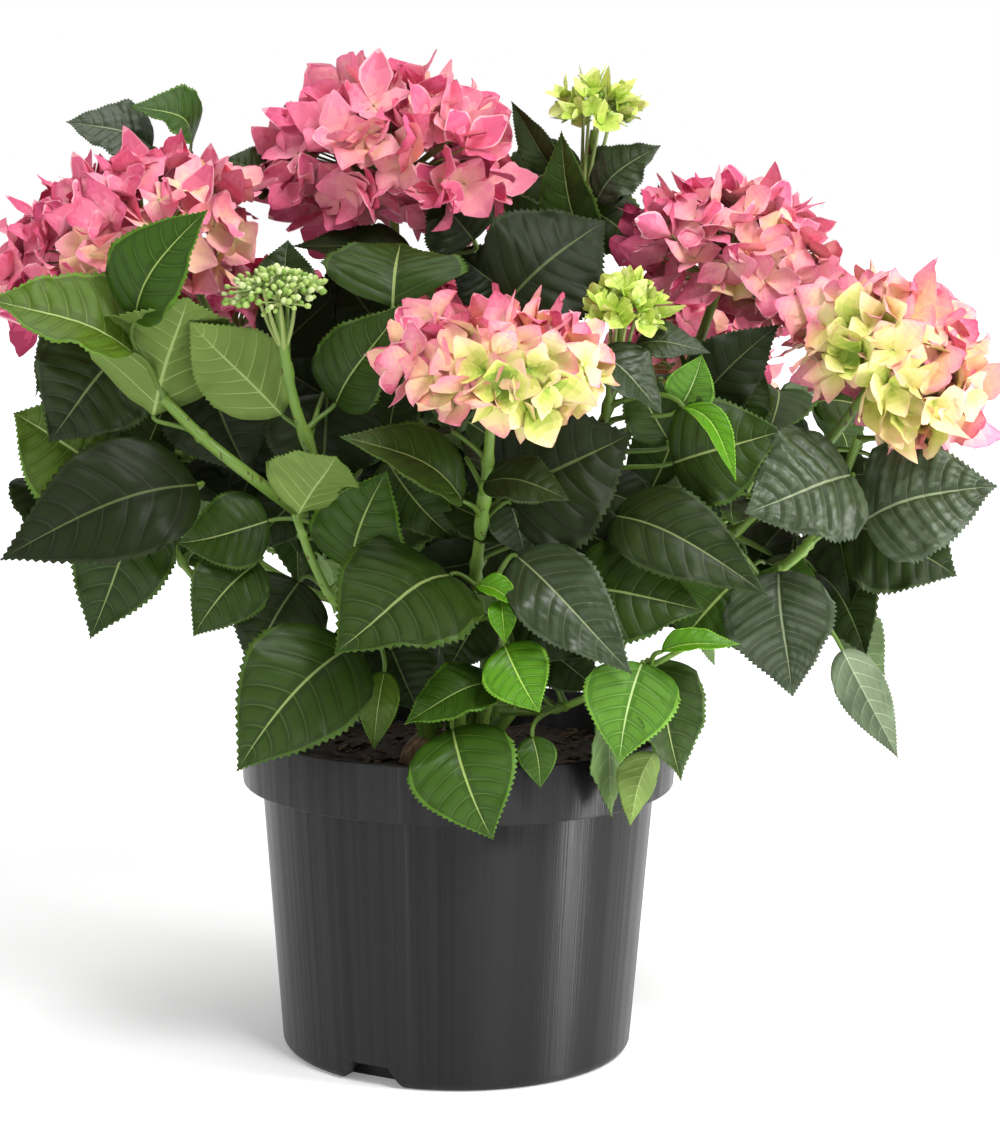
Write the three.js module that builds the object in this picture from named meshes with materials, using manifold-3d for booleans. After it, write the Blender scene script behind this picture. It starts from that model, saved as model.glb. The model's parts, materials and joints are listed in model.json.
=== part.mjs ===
// Potted hydrangea: a mophead shrub in the round nursery pot that it was grown in.
// Millimetres, +Z up. The origin is the centre of the pot's flat underside.
//
// Each cane, flower head and mass of foliage is one solid. Canes run whole from the woody foot to
// their flower heads, and the masses are cut round them and round each other with a small gap.

import * as THREE from "three";
import { mergeVertices } from "three/addons/utils/BufferGeometryUtils.js";
import Module from "manifold-3d";

// ---------------------------------------------------------------- driving dimensions

const GAP = 0.3; // clearance kept between touching pieces

const POT_HEIGHT = 172;
const POT_WALL = 2.2;
const POT_SEGMENTS = 30;
const RIM_RADIUS = 115; // outside of the collar at its lip
const RIM_DEPTH = 30; // height of the collar
const RIM_DRAFT = 1.6; // the collar narrows by this much towards its lower edge
const BODY_TOP_RADIUS = 103; // outside of the body just under the collar
const BASE_RADIUS = 92.5;
const BASE_ROUNDING = 5;

const NOTCH_COUNT = 3; // drainage arches in the foot of the pot
const NOTCH_FIRST_ANGLE = -118.5; // degrees from +X: one arch looks to the front, left of the middle
const NOTCH_FOOT_WIDTH = 33;
const NOTCH_TOP_WIDTH = 17;
const NOTCH_HEIGHT = 9;
const NOTCH_DEPTH = 15; // how far an arch reaches in from the wall

const COMPOST_LEVEL = 151;

const STOOL_FOOT_RADIUS = 29; // the old woody base that all the canes spring from
const STOOL_TOP_RADIUS = 22.5;
const STOOL_HEIGHT = 14;
const STOOL_SIDES = 12;

const CANE_RING_RADIUS = 17.5; // circle on the stool where the canes start
const CANE_FOOT_RADIUS = 3.9;
const CANE_TIP_RADIUS = 2.4;
const BOUGH_FOOT_RADIUS = 2.6; // a side shoot that branches off a cane
const BOUGH_TIP_RADIUS = 1.8;
const CANE_SIDES = 6;
const CANE_STEPS = 6;

const FULL_DETAIL = 2; // subdivisions of the icosahedron that each head and mass is shaped from
const SMALL_DETAIL = 1;
const SMALL_SIZE = 60; // a piece whose largest half axis is under this gets the small detail
const HEAD_UNEVENNESS = 0.07;
const MASS_UNEVENNESS = 0.2;
const HEAD_UNDERSIDE = 0.5; // a flower head is a dome: its lower half is this much flatter
const CANE_REACH_INTO_HEAD = 0.55; // share of the lower half that the cane's tip goes up into

// Every shoot is one cane and what it carries. "start" is the cane's place on the stool, in degrees
// from +X. "head" is the middle of the flower head, "size" its half axes, "lean" how far the dome
// tips over, and "leanTo" the direction it tips in, in degrees from +X. "rise" is how far the cane
// goes straight up before it turns, and "approach" how far below the head it already points at it.
const SHOOTS = [
  {
    name: "left", colour: "pink", start: 189, rise: 60, approach: 95,
    head: [-164, -18, 424], size: [76, 66, 54], lean: 22, leanTo: 190,
  },
  {
    name: "top", colour: "rose", start: 160, rise: 90, approach: 120,
    head: [-37, 22, 466], size: [71, 64, 55], lean: 6, leanTo: 250,
  },
  {
    name: "front", colour: "blush", start: 268, rise: 50, approach: 110,
    head: [16, -118, 366], size: [60, 54, 40], lean: 12, leanTo: 285,
  },
  {
    name: "right_top", colour: "pink", start: 14, rise: 60, approach: 110,
    head: [138, 16, 416], size: [60, 56, 48], lean: 16, leanTo: 20,
  },
  {
    name: "right", colour: "cream", start: 345, rise: 30, approach: 80,
    head: [209, -60, 366], size: [56, 56, 50], lean: 26, leanTo: 345,
  },
  {
    name: "back", colour: "rose", start: 101, rise: 60, approach: 90,
    head: [-8, 150, 370], size: [58, 54, 44], lean: 16, leanTo: 95,
  },
  {
    name: "back_right", colour: "blush", start: 72, rise: 50, approach: 90,
    head: [128, 140, 360], size: [54, 52, 42], lean: 22, leanTo: 50,
  },
  {
    name: "back_left", colour: "pink", start: 131, rise: 55, approach: 90,
    head: [-130, 128, 376], size: [58, 55, 44], lean: 22, leanTo: 135,
  },
  {
    name: "bud_left", colour: "bud", start: 220, rise: 50, approach: 90,
    head: [-89, -95, 398], size: [29, 27, 17], lean: 6, leanTo: 250,
  },
  {
    name: "bud_centre", colour: "lime", start: 306, rise: 50, approach: 90,
    head: [79, -75, 390], size: [26, 25, 20], lean: 6, leanTo: 300,
  },
  {
    name: "bud_top", colour: "lime", start: 43, rise: 120, approach: 90,
    head: [70, 50, 488], size: [27, 26, 28], lean: 4, leanTo: 40,
  },
];

// Boughs are side shoots without a flower head. Each leaves the cane that "from" names at a share
// of its length, "spread" is how far it goes square to that cane before it turns up, and it ends at
// "tip" inside a mass of leaves.
const BOUGHS = [
  { name: "top_left", from: "left", share: 0.42, spread: 40, approach: 70, tip: [-158, 46, 456] },
  { name: "left_low", from: "bud_left", share: 0.2, spread: 50, approach: 30, tip: [-150, -42, 282] },
  { name: "left_back", from: "back_left", share: 0.3, spread: 50, approach: 40, tip: [-160, 66, 318] },
  { name: "right_back", from: "back_right", share: 0.3, spread: 50, approach: 40, tip: [164, 66, 312] },
];

// Masses of leaves: the middle and the half axes of each, and the seed of its lobes.
const MASSES = [
  { name: "leaves_heart", at: [-2, 12, 312], size: [74, 66, 88], seed: 3 },
  { name: "leaves_centre", at: [-8, -92, 308], size: [62, 50, 44], seed: 11 },
  { name: "leaves_centre_low", at: [-6, -82, 232], size: [62, 56, 44], seed: 12 },
  { name: "leaves_centre_top", at: [-30, -42, 392], size: [52, 50, 34], seed: 13 },
  { name: "leaves_top", at: [52, 52, 432], size: [50, 44, 54], seed: 14 },
  { name: "leaves_top_left", at: [-168, 42, 466], size: [42, 28, 28], seed: 15 },
  { name: "leaves_left_upper", at: [-172, -40, 366], size: [62, 58, 46], seed: 21 },
  { name: "leaves_left_lower", at: [-168, -38, 284], size: [66, 60, 50], seed: 22 },
  { name: "leaves_left_inner", at: [-98, -52, 318], size: [43, 52, 58], seed: 23 },
  { name: "leaves_left_back", at: [-178, 66, 330], size: [56, 60, 60], seed: 24 },
  { name: "leaves_right_upper", at: [120, -22, 352], size: [50, 52, 38], seed: 31 },
  { name: "leaves_right_mid", at: [100, -68, 288], size: [60, 56, 48], seed: 32 },
  { name: "leaves_right_outer", at: [210, -52, 292], size: [64, 50, 42], seed: 33 },
  { name: "leaves_right_lower", at: [168, -30, 228], size: [60, 54, 56], seed: 34 },
  { name: "leaves_right_back", at: [184, 68, 320], size: [60, 60, 58], seed: 35 },
  { name: "leaves_back", at: [-6, 152, 296], size: [68, 58, 62], seed: 41 },
  { name: "leaves_back_left", at: [-116, 112, 250], size: [66, 62, 60], seed: 42 },
  { name: "leaves_back_right", at: [112, 116, 248], size: [66, 62, 60], seed: 43 },
  { name: "leaves_rim_left", at: [-88, -82, 204], size: [42, 42, 38], seed: 51 },
  { name: "leaves_rim_front", at: [8, -124, 184], size: [36, 16, 46], seed: 52 },
  { name: "leaves_rim_right", at: [86, -98, 188], size: [36, 26, 46], seed: 53 },
];

const COLOURS = {
  pot: 0x333436,
  compost: 0x2b211a,
  stool: 0x6a5740,
  cane: 0x7c9a55,
  pink: 0xe0748b,
  rose: 0xcf4566,
  blush: 0xe9a3a0,
  cream: 0xdfe0a0,
  lime: 0xb9d56a,
  bud: 0x86a85a,
  leaf: 0x2f5a30,
};

// ---------------------------------------------------------------- helpers

const wasm = await Module();
wasm.setup();

const UP = new THREE.Vector3(0, 0, 1);

function flatDirection(degrees) {
  const angle = THREE.MathUtils.degToRad(degrees);
  return new THREE.Vector3(Math.cos(angle), Math.sin(angle), 0);
}

// Repeatable numbers from 0 to 1.
function seededNumbers(seed) {
  let state = seed * 7919 + 17;
  return () => {
    state = (state * 16807) % 2147483647;
    return state / 2147483647;
  };
}

// A closed geometry as a solid that can be joined and cut.
function toSolid(geometry) {
  const bare = geometry.clone();
  bare.deleteAttribute("normal");
  bare.deleteAttribute("uv");
  const merged = mergeVertices(bare, 1e-3);
  const mesh = new wasm.Mesh({
    numProp: 3,
    vertProperties: merged.attributes.position.array,
    triVerts: new Uint32Array(merged.index.array),
  });
  return new wasm.Manifold(mesh);
}

function toGeometry(solid) {
  const mesh = solid.getMesh();
  const geometry = new THREE.BufferGeometry();
  geometry.setAttribute("position", new THREE.BufferAttribute(mesh.vertProperties, 3));
  geometry.setIndex(new THREE.BufferAttribute(mesh.triVerts, 1));
  return geometry;
}

// A named mesh of a solid that was worked out in the plant's frame, placed at its own middle.
function place(name, solid, middle, colour, roughness) {
  const geometry = toGeometry(solid).translate(-middle.x, -middle.y, -middle.z);
  geometry.computeVertexNormals();
  const material = new THREE.MeshStandardMaterial({ color: colour, roughness, metalness: 0 });
  const mesh = new THREE.Mesh(geometry, material);
  mesh.name = name;
  mesh.position.copy(middle);
  return mesh;
}

function lathe(profile) {
  const points = profile.map(([radius, height]) => new THREE.Vector2(radius, height));
  return toSolid(new THREE.LatheGeometry(points, POT_SEGMENTS).rotateX(Math.PI / 2));
}

// The largest of the pieces that a cut leaves: slivers that it parts from the edge are dropped.
function mainPiece(solid) {
  const pieces = solid.decompose();
  return pieces.reduce((best, piece) => (piece.volume() > best.volume() ? piece : best));
}

// ---------------------------------------------------------------- pot and root ball

// Outside of the pot, from the middle of the underside to the lip. The margin makes it larger.
function potOutline(margin) {
  const collarFoot = POT_HEIGHT - RIM_DEPTH;
  const corner = [];
  for (let step = 0; step <= 3; step++) {
    const angle = (step / 3) * (Math.PI / 2);
    const radius = BASE_RADIUS - BASE_ROUNDING * (1 - Math.sin(angle));
    corner.push([radius + margin, BASE_ROUNDING * (1 - Math.cos(angle)) - margin]);
  }
  return [
    [0, -margin],
    ...corner,
    [BODY_TOP_RADIUS + margin, collarFoot - margin],
    [RIM_RADIUS - RIM_DRAFT + margin, collarFoot - margin],
    [RIM_RADIUS + margin, POT_HEIGHT - 4],
    [RIM_RADIUS - 1 + margin, POT_HEIGHT + margin],
    [0, POT_HEIGHT + margin],
  ];
}

// Inside of the pot up to a level, drawn in from the wall by a clearance.
function potInside(level, clearance) {
  const inset = POT_WALL + clearance;
  const ledge = POT_HEIGHT - RIM_DEPTH + inset;
  const collarRadius = (height) => RIM_RADIUS - (RIM_DRAFT * (POT_HEIGHT - height)) / RIM_DEPTH;
  return [
    [0, inset],
    [BASE_RADIUS - BASE_ROUNDING, inset],
    [BASE_RADIUS - inset, BASE_ROUNDING + inset],
    [BODY_TOP_RADIUS - inset, ledge],
    [collarRadius(ledge) - inset, ledge],
    [collarRadius(level) - inset, level],
    [0, level],
  ];
}

// The drainage arches as solid blocks, with a margin on every side.
function notchBlocks(margin) {
  const outline = new THREE.Shape([
    new THREE.Vector2(-NOTCH_FOOT_WIDTH / 2 - margin, -NOTCH_HEIGHT),
    new THREE.Vector2(NOTCH_FOOT_WIDTH / 2 + margin, -NOTCH_HEIGHT),
    new THREE.Vector2(NOTCH_FOOT_WIDTH / 2 + margin, 0),
    new THREE.Vector2(NOTCH_TOP_WIDTH / 2 + margin, NOTCH_HEIGHT + margin),
    new THREE.Vector2(-NOTCH_TOP_WIDTH / 2 - margin, NOTCH_HEIGHT + margin),
    new THREE.Vector2(-NOTCH_FOOT_WIDTH / 2 - margin, 0),
  ]);
  const depth = 2 * NOTCH_DEPTH + margin;
  let blocks = null;
  for (let index = 0; index < NOTCH_COUNT; index++) {
    const turn = THREE.MathUtils.degToRad(NOTCH_FIRST_ANGLE + (index * 360) / NOTCH_COUNT);
    const block = new THREE.ExtrudeGeometry(outline, { depth, bevelEnabled: false })
      .rotateX(Math.PI / 2)
      .rotateZ(Math.PI / 2)
      .translate(BASE_RADIUS - NOTCH_DEPTH - margin, 0, 0)
      .rotateZ(turn);
    const solid = toSolid(block);
    blocks = blocks ? blocks.add(solid) : solid;
  }
  return blocks;
}

function makePot() {
  const cavity = lathe(potInside(POT_HEIGHT + 10, 0)).subtract(notchBlocks(POT_WALL));
  return lathe(potOutline(0)).subtract(notchBlocks(0)).subtract(cavity);
}

function makeRootBall() {
  return lathe(potInside(COMPOST_LEVEL, GAP)).subtract(notchBlocks(POT_WALL + GAP));
}

// ---------------------------------------------------------------- woody foot and canes

const STOOL_BOTTOM = COMPOST_LEVEL + GAP;
const STOOL_TOP = STOOL_BOTTOM + STOOL_HEIGHT;

function makeStool(margin) {
  const geometry = new THREE.CylinderGeometry(
    STOOL_TOP_RADIUS + margin,
    STOOL_FOOT_RADIUS + margin,
    STOOL_HEIGHT + 2 * margin,
    STOOL_SIDES,
  );
  geometry.rotateX(Math.PI / 2);
  geometry.translate(0, 0, STOOL_BOTTOM + STOOL_HEIGHT / 2);
  return toSolid(geometry);
}

// The direction that a shoot's flower head faces.
function headAxis(shoot) {
  const lean = THREE.MathUtils.degToRad(shoot.lean);
  return UP.clone().multiplyScalar(Math.cos(lean))
    .addScaledVector(flatDirection(shoot.leanTo), Math.sin(lean));
}

// A flowering cane ends a little way up inside the underside of its head.
function tipInHead(shoot) {
  const belowMiddle = shoot.size[2] * HEAD_UNDERSIDE * (1 - CANE_REACH_INTO_HEAD);
  return new THREE.Vector3(...shoot.head).addScaledVector(headAxis(shoot), -belowMiddle);
}

// A cane's middle line: straight up off the stool, then over to its flower head from below.
function caneLine(shoot) {
  const foot = flatDirection(shoot.start).multiplyScalar(CANE_RING_RADIUS);
  foot.z = STOOL_TOP + GAP;
  const tip = tipInHead(shoot);
  return new THREE.CubicBezierCurve3(
    foot,
    foot.clone().addScaledVector(UP, shoot.rise),
    tip.clone().addScaledVector(headAxis(shoot), -shoot.approach),
    tip,
  );
}

// A bough's middle line: square out of the cane that carries it, then up to its tip.
function boughLine(bough) {
  const carrier = caneLine(SHOOTS.find((shoot) => shoot.name === bough.from));
  const fork = carrier.getPointAt(bough.share);
  const along = carrier.getTangentAt(bough.share);
  const tip = new THREE.Vector3(...bough.tip);
  const out = tip.clone().sub(fork).projectOnPlane(along).normalize();
  const caneRadius = THREE.MathUtils.lerp(CANE_FOOT_RADIUS, CANE_TIP_RADIUS, bough.share);
  const foot = fork.addScaledVector(out, caneRadius + GAP);
  return new THREE.CubicBezierCurve3(
    foot,
    foot.clone().addScaledVector(out, bough.spread),
    tip.clone().addScaledVector(UP, -bough.approach),
    tip,
  );
}

// A round tapering limb: a cylinder bent along its middle line.
function makeLimb(line, footRadius, tipRadius, margin) {
  const frames = line.computeFrenetFrames(CANE_STEPS, false);
  const geometry = new THREE.CylinderGeometry(1, 1, 1, CANE_SIDES, CANE_STEPS);
  const position = geometry.attributes.position;
  for (let index = 0; index < position.count; index++) {
    const share = position.getY(index) + 0.5;
    const step = Math.round(share * CANE_STEPS);
    const radius = THREE.MathUtils.lerp(footRadius, tipRadius, share) + margin;
    const beyondTip = share === 1 ? margin : 0;
    const point = line.getPointAt(share)
      .addScaledVector(frames.tangents[step], beyondTip)
      .addScaledVector(frames.normals[step], radius * position.getZ(index))
      .addScaledVector(frames.binormals[step], radius * position.getX(index));
    position.setXYZ(index, point.x, point.y, point.z);
  }
  return toSolid(geometry);
}

function makeCane(shoot, margin) {
  return makeLimb(caneLine(shoot), CANE_FOOT_RADIUS, CANE_TIP_RADIUS, margin);
}

function makeBough(bough, margin) {
  return makeLimb(boughLine(bough), BOUGH_FOOT_RADIUS, BOUGH_TIP_RADIUS, margin);
}

// ---------------------------------------------------------------- flower heads and masses

// A ball of facets whose radius is shaped by a function of the direction.
function shapedBall(halfAxes, margin, radiusAt) {
  const detail = Math.max(...halfAxes) < SMALL_SIZE ? SMALL_DETAIL : FULL_DETAIL;
  const geometry = new THREE.IcosahedronGeometry(1, detail);
  const position = geometry.attributes.position;
  const direction = new THREE.Vector3();
  for (let index = 0; index < position.count; index++) {
    direction.fromBufferAttribute(position, index).normalize();
    const radius = radiusAt(direction);
    position.setXYZ(
      index,
      direction.x * (halfAxes[0] * radius + margin),
      direction.y * (halfAxes[1] * radius + margin),
      direction.z * (halfAxes[2] * radius + margin),
    );
  }
  return geometry;
}

// Lobes in seeded directions: each swells the ball where the direction is near its own.
function lobes(seed, count) {
  const number = seededNumbers(seed);
  const directions = [];
  for (let index = 0; index < count; index++) {
    const height = 2 * ((index + number()) / count) - 1;
    const around = 2 * Math.PI * (index * 0.618 + 0.3 * number());
    const flat = Math.sqrt(Math.max(0, 1 - height * height));
    directions.push(new THREE.Vector3(flat * Math.cos(around), flat * Math.sin(around), height));
  }
  return directions;
}

function swell(direction, lobeDirections) {
  const nearest = Math.max(...lobeDirections.map((lobe) => lobe.dot(direction)));
  return Math.max(0, nearest) ** 3;
}

function makeHead(shoot, margin) {
  const lobeDirections = lobes(shoot.start + 1, 11);
  const geometry = shapedBall(shoot.size, margin, (direction) => {
    const flattening = direction.z < 0 ? 1 - (1 - HEAD_UNDERSIDE) * -direction.z : 1;
    return flattening * (1 - HEAD_UNEVENNESS + HEAD_UNEVENNESS * swell(direction, lobeDirections));
  });
  const turn = new THREE.Quaternion().setFromUnitVectors(UP, headAxis(shoot));
  return toSolid(geometry.applyQuaternion(turn).translate(...shoot.head));
}

function makeMass(mass, margin) {
  const lobeDirections = lobes(mass.seed, 9);
  const geometry = shapedBall(mass.size, margin, (direction) => {
    return 1 - MASS_UNEVENNESS + MASS_UNEVENNESS * swell(direction, lobeDirections);
  });
  return toSolid(geometry.translate(...mass.at));
}

// ---------------------------------------------------------------- the whole plant

const plant = new THREE.Group();
const potGroup = new THREE.Group();
const stemGroup = new THREE.Group();
const headGroup = new THREE.Group();
const foliageGroup = new THREE.Group();
plant.add(potGroup, stemGroup, headGroup, foliageGroup);

const origin = new THREE.Vector3();
potGroup.add(place("pot", makePot(), origin, COLOURS.pot, 0.35));
potGroup.add(place("root_ball", makeRootBall(), origin, COLOURS.compost, 1));
stemGroup.add(place("woody_foot", makeStool(0), origin, COLOURS.stool, 0.9));

// What is already taken, grown by the gap, so that each later piece is cut clear of it.
let stems = makeStool(GAP).add(lathe(potOutline(GAP)));
for (const shoot of SHOOTS) {
  stemGroup.add(place("cane_" + shoot.name, makeCane(shoot, 0), origin, COLOURS.cane, 0.6));
  stems = stems.add(makeCane(shoot, GAP));
}
for (const bough of BOUGHS) {
  stemGroup.add(place("bough_" + bough.name, makeBough(bough, 0), origin, COLOURS.cane, 0.6));
  stems = stems.add(makeBough(bough, GAP));
}

let taken = stems;
for (const shoot of SHOOTS) {
  const middle = new THREE.Vector3(...shoot.head);
  const solid = mainPiece(makeHead(shoot, 0).subtract(taken));
  headGroup.add(place("head_" + shoot.name, solid, middle, COLOURS[shoot.colour], 0.7));
  taken = taken.add(makeHead(shoot, GAP));
}

for (const mass of MASSES) {
  const middle = new THREE.Vector3(...mass.at);
  const solid = mainPiece(makeMass(mass, 0).subtract(taken));
  foliageGroup.add(place(mass.name, solid, middle, COLOURS.leaf, 0.6));
  taken = taken.add(makeMass(mass, GAP));
}

export default plant;
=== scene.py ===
# %% [markdown]
# # A mophead hydrangea in its nursery pot
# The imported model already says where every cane, flower head and mass of leaves is. This notebook
# reads those places and grows the fine plant on them: ribbed leaves with saw teeth, florets of four
# sepals, green buds, a moulded pot and its compost. One unit is a metre, and `MM` is a millimetre.

import bpy
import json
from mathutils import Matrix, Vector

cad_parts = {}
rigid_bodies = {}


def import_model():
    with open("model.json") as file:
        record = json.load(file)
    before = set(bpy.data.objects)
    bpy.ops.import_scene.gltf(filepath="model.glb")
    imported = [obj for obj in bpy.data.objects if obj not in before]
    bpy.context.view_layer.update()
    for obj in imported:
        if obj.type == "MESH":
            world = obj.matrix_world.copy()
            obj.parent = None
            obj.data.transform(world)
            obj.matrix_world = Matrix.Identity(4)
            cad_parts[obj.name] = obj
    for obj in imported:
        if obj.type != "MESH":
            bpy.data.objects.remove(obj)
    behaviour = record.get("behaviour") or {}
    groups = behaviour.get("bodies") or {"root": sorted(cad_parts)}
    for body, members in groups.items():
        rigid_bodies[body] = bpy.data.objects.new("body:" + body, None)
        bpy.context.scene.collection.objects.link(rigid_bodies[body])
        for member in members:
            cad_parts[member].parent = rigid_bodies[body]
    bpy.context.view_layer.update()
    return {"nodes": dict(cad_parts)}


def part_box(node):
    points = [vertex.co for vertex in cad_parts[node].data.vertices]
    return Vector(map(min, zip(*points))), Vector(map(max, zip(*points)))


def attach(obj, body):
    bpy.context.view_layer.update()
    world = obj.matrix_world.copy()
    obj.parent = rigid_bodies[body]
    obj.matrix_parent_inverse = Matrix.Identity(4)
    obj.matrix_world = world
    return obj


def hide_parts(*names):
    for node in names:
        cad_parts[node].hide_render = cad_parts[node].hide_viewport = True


for thing in list(bpy.data.objects):
    bpy.data.objects.remove(thing)
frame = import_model()

import json
import math

import bmesh
import numpy as np
from mathutils import Matrix, Vector, noise
from mathutils.bvhtree import BVHTree

MM = 0.001
chance = np.random.default_rng(11)

# %% [markdown]
# ## The camera
# A product shot of a plant is taken from a little above the flowers, with a long lens, so that the
# pot keeps its straight sides. A lens of about 90 mm at 1.5 m does that. The plant leans to the
# right of its pot, so the picture is shifted by a few hundredths instead of turning the camera.

# %% Camera
EYE = Vector((0, -1.5, 0.4654))
LOOK_DOWN = 0.1405  # radians below level
CAMERA_ROLL = 0.0073  # radians about the line of sight
SENSOR_WIDTH = 36  # mm
LENS_LENGTH = 91.4  # mm
SHIFT_RIGHT = 0.0353  # a share of the picture's width


def set_camera():
    """The camera looks along +Y, a little down, and is the one that the scene renders with."""
    lens = bpy.data.cameras.new("camera")
    lens.sensor_width = SENSOR_WIDTH
    lens.lens = LENS_LENGTH
    lens.shift_x = SHIFT_RIGHT
    camera = bpy.data.objects.new("camera", lens)
    aim = Matrix.Rotation(math.pi / 2 - LOOK_DOWN, 4, "X") @ Matrix.Rotation(CAMERA_ROLL, 4, "Z")
    camera.matrix_world = Matrix.Translation(EYE) @ aim
    bpy.context.scene.collection.objects.link(camera)
    bpy.context.scene.camera = camera


set_camera()

# %% [markdown]
# ## Colours and finishes
# Shaders work in linear light, but a paint card or a colour picker gives sRGB, so one function
# turns a hex colour to linear. A second one adds a node to a material with its settings and its
# links, and every patterned finish below is built with it.
#
# Leaves, sepals and stalks are many small things in one mesh. Their colours are dealt out leaf by
# leaf and part by part: blade, rib, rim and underside each have a plain colour of their own, and
# the ribs and the quilting between them are real shape, which is what catches the light. Besides
# that, a lighter colour on the tops of the quilting and the paler rim are painted highlights.


# %% Colour and node helpers
def linear(hex_colour):
    """An sRGB hex colour as linear red, green, blue and alpha."""
    channels = [int(hex_colour[start:start + 2], 16) / 255 for start in (1, 3, 5)]
    curve = [c / 12.92 if c <= 0.04045 else ((c + 0.055) / 1.055) ** 2.4 for c in channels]
    return curve + [1.0]


def add(tree, kind, inputs=None, **settings):
    """Adds a node. An input is given a number, a colour, or another node's socket to link from."""
    node = tree.nodes.new("ShaderNode" + kind)
    for name, value in settings.items():
        setattr(node, name, value)
    for name, value in (inputs or {}).items():
        if isinstance(value, bpy.types.NodeSocket):
            tree.links.new(value, node.inputs[name])
        else:
            node.inputs[name].default_value = value
    return node


def finish_of(name, colour, roughness, **sockets):
    """A material with its own shader settings. An underscore in a name stands for a space."""
    material = bpy.data.materials.new(name)
    material.use_nodes = True
    shader = material.node_tree.nodes["Principled BSDF"]
    shader.inputs["Base Color"].default_value = linear(colour)
    shader.inputs["Roughness"].default_value = roughness
    for socket, value in sockets.items():
        shader.inputs[socket.replace("_", " ")].default_value = value
    return material


# %% [markdown]
# ## Joining many small things
# A plant has hundreds of leaves and thousands of sepals. Making each an object would be slow and
# heavy, so each kind is worked out as arrays of corners and faces, and the arrays are joined into
# one mesh at the end. `Heap` collects them and keeps every part's colour slot.


# %% Heap of small parts
class Heap:
    """Collects parts that share a set of materials, and joins them into one mesh."""

    def __init__(self, name, materials):
        self.name = name
        self.materials = materials
        self.corners = []
        self.faces = []
        self.slots = []
        self.flat = []
        self.count = 0

    def put(self, corners, faces, slots, flat=None):
        """Adds one part: corners, faces, the colour slot of each face, and whether it is shaded flat."""
        self.faces.append(faces + self.count)
        self.corners.append(corners)
        self.slots.append(slots)
        self.flat.append(np.zeros(len(faces), bool) if flat is None else flat)
        self.count += len(corners)

    def join(self, slot, *nodes):
        """Makes one mesh of all the parts, in place of the nodes it stands for."""
        corners = np.concatenate(self.corners)
        faces = np.concatenate(self.faces)
        sides = faces.shape[1]
        mesh = bpy.data.meshes.new(self.name)
        mesh.vertices.add(len(corners))
        mesh.vertices.foreach_set("co", corners.astype(np.float32).ravel())
        mesh.loops.add(faces.size)
        mesh.loops.foreach_set("vertex_index", faces.astype(np.int32).ravel())
        mesh.polygons.add(len(faces))
        mesh.polygons.foreach_set("loop_start", np.arange(0, faces.size, sides, dtype=np.int32))
        mesh.polygons.foreach_set("material_index", np.concatenate(self.slots).astype(np.int32))
        mesh.polygons.foreach_set("use_smooth", ~np.concatenate(self.flat))
        mesh.update(calc_edges=True)
        for material in self.materials:
            mesh.materials.append(material)
        return ride_as(self.name, mesh, slot, *nodes)


def mesh_of(name, bm):
    """A mesh from a bmesh that is done with."""
    mesh = bpy.data.meshes.new(name)
    bm.to_mesh(mesh)
    bm.free()
    return mesh


def ride_as(name, mesh, slot, *nodes):
    """Puts a finished mesh on the plant's one body, in place of the nodes it stands for."""
    piece = bpy.data.objects.new(name, mesh)
    bpy.context.scene.collection.objects.link(piece)
    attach(piece, "root")
    if nodes:
        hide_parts(*nodes)
    triangles = sum(len(face.vertices) - 2 for face in mesh.polygons)
    print(f"{name}: {triangles} triangles")
    return piece


# %% [markdown]
# ## Reading the limbs
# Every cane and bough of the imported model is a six-sided limb of seven rings. The rings lie more
# than 20 mm apart and are less than 8 mm across, so corners that are near each other are one ring.
# The middle of each ring is a point of the limb, and a smooth curve through them gives the line
# that the fine cane follows and that leaf stalks start from.

# %% Middle lines of the limbs
RING_REACH = 10 * MM
LINE_STEPS = 48


def smooth_line(points, steps):
    """A Catmull-Rom curve through the points, as evenly numbered samples."""
    points = np.asarray(points, float)
    padded = np.vstack([2 * points[0] - points[1], points, 2 * points[-1] - points[-2]])
    place = np.linspace(0, len(points) - 1, steps)
    span = np.minimum(place.astype(int), len(points) - 2)
    t = (place - span)[:, None]
    a, b, c, d = (padded[span + k] for k in range(4))
    square, cube = 2 * a - 5 * b + 4 * c - d, 3 * b - a - 3 * c + d
    return 0.5 * (2 * b + (c - a) * t + square * t**2 + cube * t**3)


def limb_line(node):
    """A limb's middle line from its thick end, and its thickness at each step."""
    corners = sorted({tuple(round(c, 5) for c in v.co) for v in frame["nodes"][node].data.vertices})
    rings = []
    for corner in np.array(corners):
        near = [ring for ring in rings if np.linalg.norm(ring[0] - corner) < RING_REACH]
        if near:
            near[0].append(corner)
        else:
            rings.append([corner])
    middles = [np.mean(ring, axis=0) for ring in rings]
    radii = [max(np.linalg.norm(c - m) for c in ring) for ring, m in zip(rings, middles)]
    order = [int(np.argmax(radii))]
    while len(order) < len(rings):
        rest = [k for k in range(len(rings)) if k not in order]
        order.append(min(rest, key=lambda k: np.linalg.norm(middles[k] - middles[order[-1]])))
    line = smooth_line([middles[k] for k in order], LINE_STEPS)
    ring_radii = [radii[k] for k in order]
    thick = np.interp(np.linspace(0, 1, LINE_STEPS), np.linspace(0, 1, len(order)), ring_radii)
    return line, thick


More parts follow.
